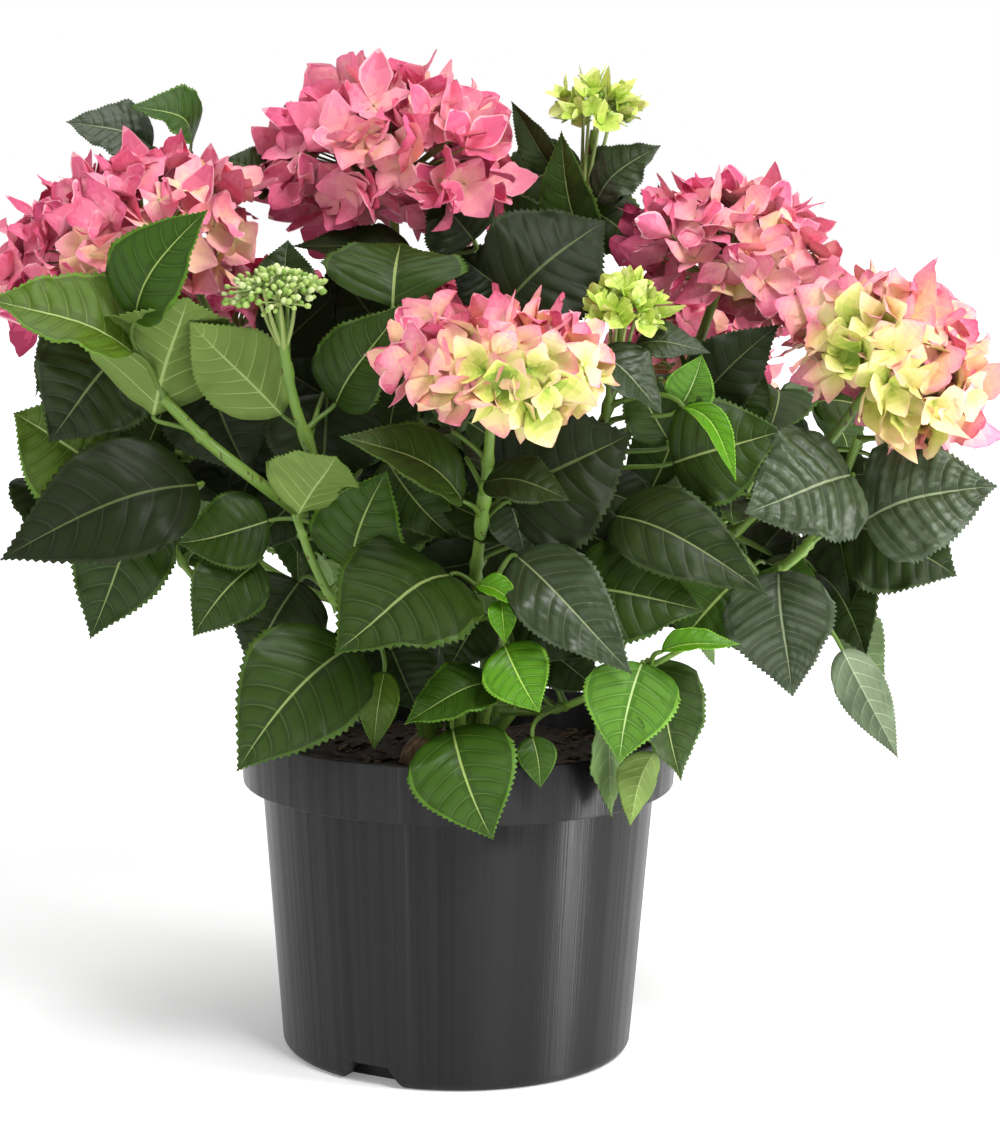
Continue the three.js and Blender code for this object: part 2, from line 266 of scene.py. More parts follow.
limbs = {name: limb_line(name) for name in frame["nodes"] if name.startswith(("cane_", "bough_"))}
SHOOTS = {
    # short side shoots that carry the leading leaves: thickness at each end, then points, in mm
    "shoot_left": (
        (3.4, 2.8), (-46, -8, 252), (-78, -36, 284), (-104, -68, 309), (-127, -72, 328),
        (-147, -73, 348)),
    "shoot_low_left": ((2.6, 2.0), (-48, -60, 236), (-62, -70, 246), (-73, -82, 269), (-81, -92, 294)),
    "shoot_low_right": (
        (2.4, 1.3), (22, -40, 186), (46, -78, 194), (69, -98, 207), (89, -106, 219), (117, -114, 236)),
    "shoot_front": ((2.4, 1.4), (14, -84, 252), (12, -98, 256), (16, -106, 262), (20, -112, 256)),
    "shoot_right": (
        (3.2, 2.3), (76, -24, 226), (120, -54, 244), (160, -78, 267), (180, -76, 290), (197, -72, 330)),
}
for name, ((foot, end), *points) in SHOOTS.items():
    thick = np.linspace(foot, end, LINE_STEPS) * MM
    limbs[name] = (smooth_line(np.array(points) * MM, LINE_STEPS), thick)
LIMB_POINTS = np.concatenate([line for line, thick in limbs.values()])
LIMB_RADII = np.concatenate([thick for line, thick in limbs.values()])
# No leaf stands on the bare neck under a flower, so the last steps of a cane count as farther off.
NECK_START = 0.86
NECK_COST = 50 * MM
neck = np.where(np.arange(LINE_STEPS) > NECK_START * LINE_STEPS, NECK_COST, 0.0)
NEAR_FLOWER = np.concatenate([neck * name.startswith("cane_") for name in limbs])
for name, (line, thick) in limbs.items():
    print(name, "is", round(1000 * float(np.linalg.norm(np.diff(line, axis=0), axis=1).sum())), "mm long")

# %% [markdown]
# ## Stalks and canes
# A cane, a leaf stalk and a flower stalk are all one thing to make: a line of points with a
# thickness at each. Blender's curve with a round bevel draws that well, with the ends filled, and
# it is turned into a mesh at once so that its place is in its corners.


# %% Stalks from curves
def grow_stalks(name, stalks, fineness, materials, slot, *nodes):
    """One mesh of round tapering stalks. Each stalk is (points, radii, number of its material)."""
    curve = bpy.data.curves.new(name, "CURVE")
    curve.dimensions = "3D"
    curve.bevel_depth = 1.0
    curve.bevel_resolution = fineness
    curve.use_fill_caps = True
    for points, radii, material in stalks:
        spline = curve.splines.new("POLY")
        spline.points.add(len(points) - 1)
        spline.points.foreach_set("co", np.c_[points, np.ones(len(points))].ravel())
        spline.points.foreach_set("radius", np.asarray(radii, float))
        spline.material_index = material
        spline.use_smooth = True
    for material in materials:
        curve.materials.append(material)
    drawn = bpy.data.objects.new(name + "_curve", curve)
    bpy.context.scene.collection.objects.link(drawn)
    solid = drawn.evaluated_get(bpy.context.evaluated_depsgraph_get())
    mesh = bpy.data.meshes.new_from_object(solid)
    bpy.data.objects.remove(drawn)
    return ride_as(name, mesh, slot, *nodes)


def unit(vector):
    """The same direction with a length of one."""
    vector = np.asarray(vector, float)
    return vector / max(np.linalg.norm(vector), 1e-9)


# A stalk starts on the limb that is cheapest to reach. Besides its distance, a limb costs more where
# it is less than `DROP` below the blade, because stalks come up from below, and where it lies more
# than `FREE_FRONT` in front of the blade. A hanging leaf may start nearly as well from above.
STALK_THICK = 1.5 * MM
STALK_STEPS = 9
DROP = 12 * MM
FREE_FRONT = 5 * MM
COST_ABOVE, COST_ABOVE_HANGING, COST_IN_FRONT = 1.5, 0.3, 0.7
HANGING = -0.6  # a heading that points down more than this


def stalk_to(base, heading, limb=None):
    """A leaf stalk: out of the nearest limb below the blade, or a chosen limb, and up into it."""
    offset = LIMB_POINTS - base
    above = COST_ABOVE_HANGING if unit(heading)[2] < HANGING else COST_ABOVE
    reach = np.linalg.norm(offset, axis=1) + above * np.maximum(offset[:, 2] + DROP, 0)
    reach += COST_IN_FRONT * np.maximum(-offset[:, 1] - FREE_FRONT, 0) + NEAR_FLOWER
    if limb is not None:
        reach[np.arange(len(reach)) // LINE_STEPS != list(limbs).index(limb)] += 1
    nearest = int(np.argmin(reach))
    start = LIMB_POINTS[nearest]
    span = np.linalg.norm(base - start)
    knee = start + 0.45 * span * unit(unit(base - start) + np.array([0, 0, 0.35]))
    neck = base - 0.3 * span * unit(heading)
    share = np.linspace(0, 1, STALK_STEPS)[:, None]
    points = ((1 - share)**3 * start + 3 * (1 - share)**2 * share * knee
              + 3 * (1 - share) * share**2 * neck + share**3 * base)
    swell = 1 + 0.9 * np.exp(-share[:, 0] / 0.08)
    return points, STALK_THICK * swell * (1 - 0.25 * share[:, 0]), nearest


# %% [markdown]
# ## The leaf
# A hydrangea leaf is broad and egg-shaped, with a round base, a drawn-out tip and a saw-toothed
# edge. Six or seven pairs of side ribs leave the middle rib at a slant and bend towards the tip,
# and the blade is quilted between them. Cutting an outline into faces would put the ribs anywhere,
# so the sheet starts as a flat grid whose rows are bent to run along the side ribs. Each rib is a
# narrow row that thins out towards the edge, and everything between can be puffed up.
# `create_grid` makes the sheet and `solidify` gives it an underside while it is still flat.

# %% Flat sheets
TOP = 0
RIB_WIDTH = 0.0036  # half of a side rib at the middle, as a share of the leaf's length
MIDRIB = 0.022  # half of the middle rib, as a share of half the width
# The paler rim is a painted highlight along the leaf's edge, where the edge catches the light.
RIM_START = 0.94  # where the paler rim starts, as a share of half the width
FIRST_RIB, RIB_SPAN = 0.075, 0.765  # where the side ribs start, as shares of the middle rib
RIB_SLANT = 0.27  # how far a side rib runs forward on its way to the edge
BASE_LOBE = 0.07  # how far up the blade its round base is felt
WIDEST = 0.36  # where the blade is widest, from its base
LEAF_PARTS = ("blade", "painted_highlight", "midrib", "rib", "rim", "underside", "lower_rib")
BLADE, PAINTED_HIGHLIGHT, MIDDLE_RIB, RIB, RIM, UNDERSIDE, LOWER_RIB = range(len(LEAF_PARTS))


def arrays_of(bm):
    """The corners of a bmesh and its faces by corner, as arrays. The bmesh is done with."""
    corners = np.array([v.co for v in bm.verts])
    faces = np.array([[v.index for v in face.verts] for face in bm.faces])
    bm.free()
    return corners, faces


def flat_sheet(rows, columns):
    """A closed flat skin: for each corner its row, column and side, and the faces by corner."""
    bm = bmesh.new()
    bmesh.ops.create_grid(bm, x_segments=rows, y_segments=columns, size=1.0)
    bmesh.ops.solidify(bm, geom=bm.faces[:], thickness=1.0)
    corners, faces = arrays_of(bm)
    row = np.rint((corners[:, 0] + 1) / 2 * rows).astype(int)
    column = np.rint((corners[:, 1] + 1) / 2 * columns).astype(int)
    side = (corners[:, 2] < corners[:, 2].mean()).astype(int)
    return row, column, side, faces


def leaf_rows(ribs, rows_between):
    """Where each row leaves the middle rib, whether it edges a rib (-1 or 1), and its tooth."""
    middles = FIRST_RIB + RIB_SPAN * (np.arange(ribs) / (ribs - 1))**0.95
    rows = [(0.0, 0, 0), (0.04, 0, 1)]
    tooth = 1
    for number, middle in enumerate(middles):
        start = rows[-1][0] if number == 0 else middles[number - 1]
        for step in range(1, 2 if number == 0 else rows_between):
            tooth += 1
            share = step / (1.5 if number == 0 else rows_between)
            rows.append((start + (middle - start) * share, 0, tooth))
        tooth += 1
        rows += [(middle, -1, tooth), (middle, 1, tooth)]
    for step in range(1, rows_between + 3):
        tooth += 1
        rows.append((middles[-1] + (1 - middles[-1]) * step / (rows_between + 2), 0, tooth))
    return middles, np.array(rows)


class LeafSheet:
    """The leaf before it is bent: where each corner lies along and across the blade."""

    def __init__(self, ribs, rows_between, columns, cells):
        middles, rows = leaf_rows(ribs, rows_between)
        half = [MIDRIB] + list(np.linspace(MIDRIB, RIM_START, columns)[1:]) + [1.0]
        across = np.array([-h for h in reversed(half)] + half)
        row, column, self.side, self.faces = flat_sheet(len(rows) - 1, len(across) - 1)
        v = across[column]
        edge = np.abs(v)
        s = rows[row, 0] + rows[row, 1] * RIB_WIDTH * (1 - 0.85 * edge)
        self.across = v
        rounded = np.exp(-s / BASE_LOBE)
        bend = (1 - rounded) * edge**1.25 + rounded * (1 - np.sqrt(np.maximum(1 - edge**2, 0)))
        self.along = s + RIB_SLANT * np.maximum(1 - s, 0)**0.7 * bend
        self.tooth = np.where((edge > 0.99) & (rows[row, 2] % 2 == 1), 1.0, 0.0)
        self.puff_up(s, v, middles, cells)
        self.mark_parts(row, column, rows, across)

    def puff_up(self, s, v, middles, cells):
        """The quilting: a swelling between neighbouring ribs, and small cobbles on it."""
        edge = np.abs(v)
        marks = np.concatenate([[2 * middles[0] - middles[1]], middles, [1.06]])
        below = np.clip(np.searchsorted(marks, s, side="right") - 1, 0, len(marks) - 2)
        self.share = np.clip((s - marks[below]) / (marks[below + 1] - marks[below]), 0, 1)
        swelling = 0.6 * np.sin(math.pi * self.share)**0.7
        swelling *= np.minimum(edge / 0.1, 1) * (1 - 0.7 * edge**3)
        turn = 2 * math.pi * (cells * edge + 0.37 * below + 0.2 * (v > 0))
        cobbles = np.cos(turn) * np.sin(2 * math.pi * self.share)
        cobbles += 0.6 * np.cos(1.7 * turn) * np.sin(math.pi * self.share)
        uneven = np.sin(217 * s + 31 * v) * np.cos(143 * v - 89 * s)
        open_blade = (edge > 2 * MIDRIB) & (edge < 0.97)
        self.puff = swelling + open_blade * (0.3 * cobbles + 0.14 * uneven)
        self.puff -= 0.3 * np.exp(-(edge / 0.05)**2)

    def mark_parts(self, row, column, rows, across):
        """Gives each face its part of the leaf, by the row and column it lies in."""
        face_row = np.minimum(row[self.faces].min(axis=1), len(rows) - 2)
        face_column = np.minimum(column[self.faces].min(axis=1), len(across) - 2)
        face_side = self.side[self.faces].mean(axis=1)
        edge = np.abs(0.5 * (across[face_column] + across[face_column + 1]))
        share = self.share[self.faces].mean(axis=1)
        # Faces on the tops of the quilting between ribs take a lighter colour: a painted highlight.
        part = np.where((np.abs(share - 0.5) < 0.24) & (edge > 0.1) & (edge < 0.86), PAINTED_HIGHLIGHT, BLADE)
        # The rim, and the thin wall of the leaf at its edge, take the paler rim colour: a painted
        # highlight.
        part = np.where(edge > RIM_START, RIM, part)
        part = np.where((rows[face_row, 1] < 0) & (edge < 0.9), RIB, part)
        part = np.where(edge < MIDRIB, MIDDLE_RIB, part)
        ribbed = (part == RIB) | (part == MIDDLE_RIB)
        part = np.where(face_side > 0.5, np.where(ribbed, LOWER_RIB, UNDERSIDE), part)
        self.wall = (face_side > 0.1) & (face_side < 0.9)
        self.part = np.where(self.wall, RIM, part)


def half_width(along):
    """The blade's outline: full near the base, widest below the middle, drawn out at the tip."""
    beyond = np.clip((along - WIDEST) / (1 - WIDEST), 0, 1)
    before = np.clip(1 - along / WIDEST, 0, 1)
    return np.maximum((1 - 0.1 * before**2) * (1 - beyond**1.8)**1.3, 0.006)


quilted_sheet = LeafSheet(ribs=7, rows_between=6, columns=14, cells=6)
leading_sheet = LeafSheet(ribs=7, rows_between=5, columns=9, cells=4)
plain_sheet = LeafSheet(ribs=6, rows_between=4, columns=5, cells=2)
for sheet_name, sheet in (("quilted", quilted_sheet), ("leading", leading_sheet), ("plain", plain_sheet)):
    print(sheet_name, "leaf:", 2 * len(sheet.faces), "triangles")

# %% [markdown]
# ## Bending a leaf
# Every leaf on the plant is the same flat sheet bent its own way. It is folded along the middle
# rib, arched from base to tip, rolled down at the sides, twisted, swayed to one side and waved at
# the edge. The blade is placed by where it starts and where its tip is, so its size is exact.


# %% Bending
BLADE_THICK = 0.45 * MM
ROLL_DOWN = 0.1  # how far the sides roll down, as a share of half the width


def bend_leaf(sheet, base, tip, width, facing, fold=12, arch=0.1, twist=0, sway=0.0,
              wave=0.02, puff=0.022, phase=0.0):
    """The corners of one leaf in metres. fold and twist are degrees, the rest are shares of its size."""
    base, tip = np.asarray(base, float), np.asarray(tip, float)
    length = np.linalg.norm(tip - base)
    x_axis = (tip - base) / length
    z_axis = unit(np.asarray(facing, float) - np.dot(facing, x_axis) * x_axis)
    y_axis = np.cross(z_axis, x_axis)
    u, v, edge = sheet.along, sheet.across, np.abs(sheet.across)
    narrow = half_width(u)
    flat = v * 0.5 * width * (narrow + 0.055 * sheet.tooth * narrow**0.3)
    slope = math.radians(fold) * (1 - 0.35 * u)
    y = flat * np.cos(slope)
    z = np.abs(flat) * np.sin(slope) - ROLL_DOWN * flat**2 / (0.5 * width)
    z += puff * width * sheet.puff * narrow**0.5
    ripple = np.sin(2 * math.pi * (2.1 * u + 0.37 * np.sign(v)) + phase)
    ripple += 0.5 * np.sin(2 * math.pi * (4.7 * u + 0.21 * np.sign(v)) + 2 * phase)
    z += wave * width * edge**2 * narrow**0.5 * ripple
    turn = math.radians(twist) * (u - 0.4)
    y, z = y * np.cos(turn) - z * np.sin(turn), y * np.sin(turn) + z * np.cos(turn)
    bow = 4 * u * (1 - u)
    y += sway * length * bow
    z += arch * length * (bow + 0.22 * np.sin(2 * math.pi * u)) - sheet.side * BLADE_THICK
    x = u * length + 0.008 * sheet.tooth * length
    return base + x[:, None] * x_axis + y[:, None] * y_axis + z[:, None] * z_axis


# %% [markdown]
# ## Leaf colours
# Old leaves are nearly black-green and waxy, leaves in the light are fresh green, and the young
# ones at the foot are lime. The skin is thin wax over soft tissue: a roughness over 0.4 and a weak
# reflection give the broad soft shine, and only the hard old leaves gloss more. Undersides are
# paler and matt, with raised ribs.

# %% Leaf materials
LEAF_COLOURS = {
    # blade, painted highlight on the tops of the quilting, middle rib, side rib, rim with a painted
    # highlight, underside, ribs below
    "black": ("#18210a", "#1c270c", "#4f5c34", "#2a3617", "#222d10", "#4a5a2e", "#6c7f4a"),
    "dark": ("#1d2a0b", "#24330f", "#6a7a4a", "#36461f", "#2d3d16", "#506838", "#788c54"),
    # slate and grey are the dark green made greyer and lighter, grey most of all: painted sheen of glossy
    # leaves that face the light.
    "slate": ("#2a371d", "#33422a", "#7c8a62", "#4a5838", "#36452a", "#596c45", "#8c9a70"),
    "grey": ("#36442a", "#4a583f", "#8c9874", "#5c694c", "#44523a", "#66755a", "#98a484"),
    "deep": ("#25380c", "#2b410f", "#869658", "#435c22", "#3b5418", "#5a753c", "#82995c"),
    "fresh": ("#2c460c", "#325010", "#90a65a", "#4b6a20", "#4a6e1a", "#648240", "#8aa562"),
    "mid": ("#445b12", "#4c6718", "#a0b46c", "#648034", "#5c7f28", "#687f3c", "#94a866"),
    "bright": ("#487220", "#548028", "#b4cc84", "#78a048", "#6c9a34", "#789648", "#a2ba74"),
    "lime": ("#427008", "#4c800e", "#a8cb58", "#72a22c", "#66981c", "#88ac50", "#b4cf78"),
}
GLOSS = {"slate": (0.38, 0.4), "grey": (0.4, 0.45), "black": (0.48, 0.2), "lime": (0.42, 0.3)}
leaf_materials = []
for family, colours in LEAF_COLOURS.items():
    rough, shine = GLOSS.get(family, (0.45, 0.24))
    for part, colour in zip(LEAF_PARTS, colours):
        below = part in ("underside", "lower_rib")
        leaf_materials.append(finish_of(
            f"leaf_{family}_{part}", colour, 0.6 if below else rough, IOR=1.45,
            Specular_IOR_Level=0.2 if below else shine))
FAMILY = {name: number * len(LEAF_PARTS) for number, name in enumerate(LEAF_COLOURS)}
print("leaf finishes:", len(leaf_materials))

# %% [markdown]
# ## The leading leaves
# The plant's look comes from some seventy big leaves that lie outermost, as they do when a grower
# turns the best side to the front. Each is listed one by one: where its blade leaves the stalk, where
# its tip is, how wide it is, which way its upper side faces, its colour, and how it is bent.
# Places and widths are in mm.

# %% Leading leaves
FRONT, UP, LEFT, RIGHT = (0, -1, 0.35), (0, -0.6, 0.8), (-0.5, -1, 0.3), (0.5, -1, 0.3)
HIGH = (0, -0.85, 0.55)
BACK = (-0.2, 0.9, 0.35)  # the underside shows in front

LEADING = [
    # upper left
    ((-160, -92, 372), (-228, -108, 398), 60, UP, "mid", {"fold": 26, "arch": 0.08}),
    ((-158, -98, 388), (-122, -106, 441), 48, LEFT, "fresh", {"fold": 20}),
    ((-152, -74, 340), (-130, -122, 400), 82, BACK, "mid", {"fold": 26}),
    ((-88, -80, 341), (-131, -105, 388), 48, BACK, "mid", {"fold": 24}),
    ((-170, -50, 370), (-205, -62, 325), 64, FRONT, "dark", {}),
    ((-144, 40, 470), (-173, 25, 492), 46, UP, "fresh", {"arch": 0.3, "fold": 20}),
    ((-163, 35, 471), (-207, 30, 484), 46, UP, "slate", {}),
    ((-100, 14, 450), (-122, 5, 466), 38, UP, "dark", {}),
    ((-86, -66, 394), (-86, -62, 426), 33, FRONT, "dark", {"fold": 18}),
    # lower left
    ((-184, -40, 311), (-225, -48, 338), 60, LEFT, "mid", {}),
    ((-131, -70, 305), (-225, -95, 270), 62, FRONT, "black", {"arch": 0.14}),
    ((-162, -35, 292), (-188, -45, 223), 54, FRONT, "deep", {}),
    ((-96, -60, 286), (-141, -66, 275), 40, FRONT, "deep", {}),
    ((-101, -62, 265), (-133, -72, 229), 40, FRONT, "deep", {}),
    ((-81, -50, 254), (-106, -60, 210), 52, FRONT, "dark", {}),
    ((-79, -95, 294), (-60, -112, 324), 52, BACK, "mid", {"fold": 30}),
    ((-128, -45, 359), (-106, -50, 308), 60, FRONT, "black", {}),
    ((-100, -20, 345), (-118, -30, 300), 60, FRONT, "black", {}),
    # middle
    ((-53, -85, 227), (-108, -112, 169), 64, FRONT, "deep", {"arch": 0.12}),
    ((-5, -100, 265), (-59, -142, 233), 80, UP, "deep", {"arch": 0.14, "fold": 8}),
    ((-54, -75, 264), (-36, -85, 314), 48, FRONT, "fresh", {}),
    ((-37, -85, 214), (-42, -88, 175), 20, FRONT, "mid", {}),
    ((-34, -66, 222), (-20, -76, 192), 38, FRONT, "dark", {}),
    ((10, -60, 238), (-6, -72, 212), 32, FRONT, "dark", {}),
    ((-56, -52, 232), (-44, -60, 200), 36, FRONT, "black", {}),
    ((19, -100, 212), (-26, -122, 195), 34, UP, "fresh", {}),
    ((-3, -108, 190), (17, -126, 139), 54, FRONT, "fresh", {"arch": 0.16}),
    ((22, -118, 233), (39, -126, 202), 34, FRONT, "lime", {}),
    ((36, -112, 187), (40, -118, 163), 19, FRONT, "fresh", {}),
    ((89, -112, 224), (78, -128, 178), 46, FRONT, "bright", {"arch": 0.14}),
    ((93, -100, 223), (109, -112, 166), 44, RIGHT, "deep", {"fold": 30}),
    ((96, -108, 179), (84, -116, 144), 24, BACK, "mid", {"fold": 30}),
    ((28, -105, 275), (83, -130, 222), 44, FRONT, "slate", {"arch": 0.14}),
    ((55, -90, 258), (119, -112, 250), 54, FRONT, "deep", {"fold": 8}),
    ((31, -88, 250), (64, -96, 224), 40, FRONT, "dark", {}),
    ((42, -82, 226), (70, -90, 206), 30, FRONT, "dark", {}),
    ((75, -85, 293), (148, -118, 259), 44, FRONT, "dark", {"arch": 0.14}),
    ((142, -70, 262), (110, -78, 228), 66, FRONT, "fresh", {}),
    ((98, -120, 231), (135, -125, 236), 18, UP, "lime", {"fold": 38}),
    ((25, -86, 298), (32, -94, 273), 28, FRONT, "slate", {}),
    ((9, -115, 262), (29, -125, 253), 17, UP, "lime", {"fold": 35}),
    ((20, -118, 255), (22, -128, 236), 16, FRONT, "lime", {"fold": 35}),
    # right
    ((105, -75, 318), (158, -88, 336), 56, FRONT, "deep", {}),
    ((192, -85, 314), (138, -105, 297), 66, HIGH, "grey", {"puff": 0.035}),
    ((200, -80, 291), (262, -95, 310), 68, HIGH, "grey", {"puff": 0.04}),
    ((196, -60, 286), (248, -70, 262), 60, FRONT, "dark", {}),
    ((157, -88, 266), (164, -100, 206), 58, LEFT, "grey", {"fold": 18}),
    ((192, -70, 224), (220, -78, 171), 28, BACK, "grey", {"fold": 30}),
    ((117, -50, 342), (158, -58, 386), 38, FRONT, "black", {}),
    ((138, -40, 338), (153, -35, 362), 32, FRONT, "deep", {}),
    ((109, -75, 347), (118, -80, 372), 26, FRONT, "bright", {"fold": 25}),
    ((109, -90, 347), (133, -110, 313), 17, UP, "lime", {"fold": 38, "arch": 0.2}),
    ((86, -70, 376), (122, -78, 373), 26, UP, "slate", {}),
    ((103, -65, 329), (82, -70, 366), 30, FRONT, "deep", {}),
    ((66, -85, 373), (98, -95, 344), 32, UP, "slate", {"fold": 20}),
    # top
    ((-34, -70, 394), (-31, -34, 424), 72, UP, "deep", {"fold": 16, "arch": 0.16, "limb": "cane_top"}),
    ((22, -55, 395), (72, -35, 436), 66, FRONT, "black", {}),
    ((67, 25, 420), (51, 15, 481), 34, LEFT, "deep", {"fold": 26}),
    ((71, 35, 446), (103, 30, 474), 40, UP, "slate", {}),
    ((48, 30, 460), (25, 20, 496), 20, LEFT, "dark", {"fold": 30}),
    ((-62, -70, 346), (-28, -85, 396), 46, LEFT, "deep", {"fold": 18}),
    ((1, -112, 303), (-57, -130, 335), 44, UP, "deep", {"fold": 20}),
    ((12, -112, 312), (52, -125, 305), 34, UP, "dark", {}),
    ((20, -80, 300), (84, -90, 334), 80, FRONT, "black", {}),
    ((-67, -50, 349), (-70, -55, 294), 60, FRONT, "black", {}),
    ((-25, -10, 416), (-86, -20, 422), 32, UP, "black", {}),
    ((6, -5, 425), (-16, -12, 453), 42, FRONT, "black", {}),
    ((-100, 30, 362), (-66, 20, 396), 44, FRONT, "black", {}),
    ((-40, 25, 372), (-64, 30, 404), 40, FRONT, "black", {}),
    ((24, 55, 396), (-6, 50, 420), 38, FRONT, "black", {}),
    ((-60, 20, 336), (-98, 10, 362), 38, FRONT, "black", {}),
    ((-64, 36, 362), (-71, 34, 408), 34, FRONT, "black", {}),
]

leading_leaves = [Heap("leading_leaves_" + side, leaf_materials) for side in ("left", "right")]
LEAF_STALK, YOUNG_STALK, SHADED_STALK = range(3)
# Stalks of the black and dark leaves are darker: painted shade, so that they sink into the shade among
# those leaves.
STALK_OF = {"lime": YOUNG_STALK, "bright": YOUNG_STALK, "black": SHADED_STALK, "dark": SHADED_STALK}
leaf_stalks = []
stalk_feet = []
leading_bends = []


def add_stalk(base, heading, material, limb=None):
    """Notes the stalk of a leaf, and where on its limb it starts."""
    points, radii, foot = stalk_to(np.asarray(base), heading, limb)
    leaf_stalks.append((points, radii, material))
    stalk_feet.append(foot)


for base, tip, width, facing, family, bend in LEADING:
    base, tip, width = np.array(base) * MM, np.array(tip) * MM, width * MM
    sheet = quilted_sheet if family in ("slate", "grey") else leading_sheet
    bend = {
        "twist": chance.uniform(-14, 14), "sway": chance.uniform(-0.05, 0.05),
        "wave": chance.uniform(0.02, 0.045), "phase": chance.uniform(0, 6), **bend,
    }
    limb = bend.pop("limb", None)
    corners = bend_leaf(sheet, base, tip, width, facing, **bend)
    heap = leading_leaves[int(base[0] >= 0)]
    heap.put(corners, sheet.faces, sheet.part + FAMILY[family], sheet.wall)
    add_stalk(base, tip - base, STALK_OF.get(family, LEAF_STALK), limb)
    leading_bends.append(((base, tip, width, facing), bend))
print("leading leaves:", len(LEADING))

# %% [markdown]
# ## The leaves behind
# The rest of the foliage follows a rule. A plant turns its leaves to the light, so that from any
# side the next leaf is where the light would slip in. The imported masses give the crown's outside.
# For many points on it, seen from the front first and then from all round and from above, a line
# of sight is tried, and where it would pass between the leaves a new one is grown a little way in.
# A leaf is kept only if it stays inside the plant's outline, misses the pot, the flowers and the
# other leaves, hides no leading leaf, flower or front cane from the front, and leaves the openings
# where light comes through between the canes.

# %% Openings and outline
# An opening is a round window in the plane of the pot's axis: how far right, how high and its
# radius, in mm.
OPENINGS = [(-97, 241, 11), (166, 367, 9), (99, 312, 9), (85, 413, 8), (3, 420, 8), (-150, 234, 22),
            (127, 185, 14), (160, 196, 20)]
masses = [name for name in frame["nodes"] if name.startswith("leaves_")]
heads = [name for name in frame["nodes"] if name.startswith("head_")]


def middle_and_reach(node):
    """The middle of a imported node's box, and how far the box reaches from it each way."""
    low, high = (np.array(corner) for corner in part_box(node))
    return (low + high) / 2, (high - low) / 2


ENVELOPE = [middle_and_reach(name) for name in masses + heads]
HEADS = [middle_and_reach(name) for name in heads]
POT_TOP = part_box("pot")[1].z
POT_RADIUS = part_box("pot")[1].x
FRONT_EYE = np.array(EYE)
OUTLINE_SLACK = 1.06
HEAD_CORE = 0.92  # the share of a head's reach that no leaf may enter
POT_CLEARANCE = 4 * MM
RIM_CLEARANCE = 2 * MM


def inside_plant(points):
    """Whether every point lies in the ellipsoid of some mass of leaves or flower head."""
    inside = np.zeros(len(points), bool)
    for middle, reach in ENVELOPE:
        inside |= (((points - middle) / (reach * OUTLINE_SLACK))**2).sum(axis=1) <= 1
    return inside.all()


def inside_head(points):
    """Whether any point lies in the core of a flower head."""
    return any(((((points - middle) / (reach * HEAD_CORE))**2).sum(axis=1) <= 1).any()
               for middle, reach in HEADS)


def in_opening(points):
    """Whether any point lies on a line of sight through one of the openings."""
    share = -FRONT_EYE[1] / (points[:, 1] - FRONT_EYE[1])
    at_middle = FRONT_EYE + (points - FRONT_EYE) * share[:, None]
    return any((np.hypot(at_middle[:, 0] - x * MM, at_middle[:, 2] - z * MM) < radius * MM).any()
               for x, z, radius in OPENINGS)


def in_pot(points):
    """Whether any point lies lower than the rim and too near the pot's axis to miss the pot."""
    low = points[:, 2] < POT_TOP + RIM_CLEARANCE
    return (low & (np.hypot(points[:, 0], points[:, 1]) < POT_RADIUS + POT_CLEARANCE)).any()


class Shape:
    """A search tree over some faces, with the box they lie in."""

    def __init__(self, corners, faces):
        self.corners, self.faces = corners, faces
        self.low, self.high = corners.min(axis=0), corners.max(axis=0)
        self.tree = BVHTree.FromPolygons(corners.tolist(), faces.tolist())


# %% [markdown]
# ## Feeling for the other leaves
# Testing every face of a new leaf against every face of the plant would be slow. A BVH tree sorts
# the faces of a shape into boxes within boxes, so that Blender only looks into the boxes that a
# ray or another tree reaches. The tests also use a stand-in for each leaf: one with few faces,
# bent in the same way, which is enough to feel whether two leaves cross.

# %% Stand-ins for the tests
rough_sheet = LeafSheet(ribs=3, rows_between=1, columns=2, cells=1)
ROUGH_FACES = rough_sheet.faces[(rough_sheet.side[rough_sheet.faces] == TOP).all(axis=1)]
ROUGH_CORNERS = np.unique(ROUGH_FACES)

leading_shapes = [Shape(bend_leaf(rough_sheet, *place, **bend), ROUGH_FACES)
                  for place, bend in leading_bends]
head_shapes = []
for name in heads:
    mesh = frame["nodes"][name].data
    corners = np.array([v.co for v in mesh.vertices])
    mesh.calc_loop_triangles()
    faces = np.array([triangle.vertices for triangle in mesh.loop_triangles])
    head_shapes.append(Shape(corners, faces))


# %% Tests against the leaves so far
SETTLE_AFTER = 25  # new leaves
FRONT_HALF = 40 * MM  # a head that starts farther back than this doesn't show from the front
LOOK_BEHIND = 0.3  # how far behind a new leaf something still counts as hidden by it
CANE_MARGIN = 4 * MM  # a line of sight ends this far in front of a cane's middle


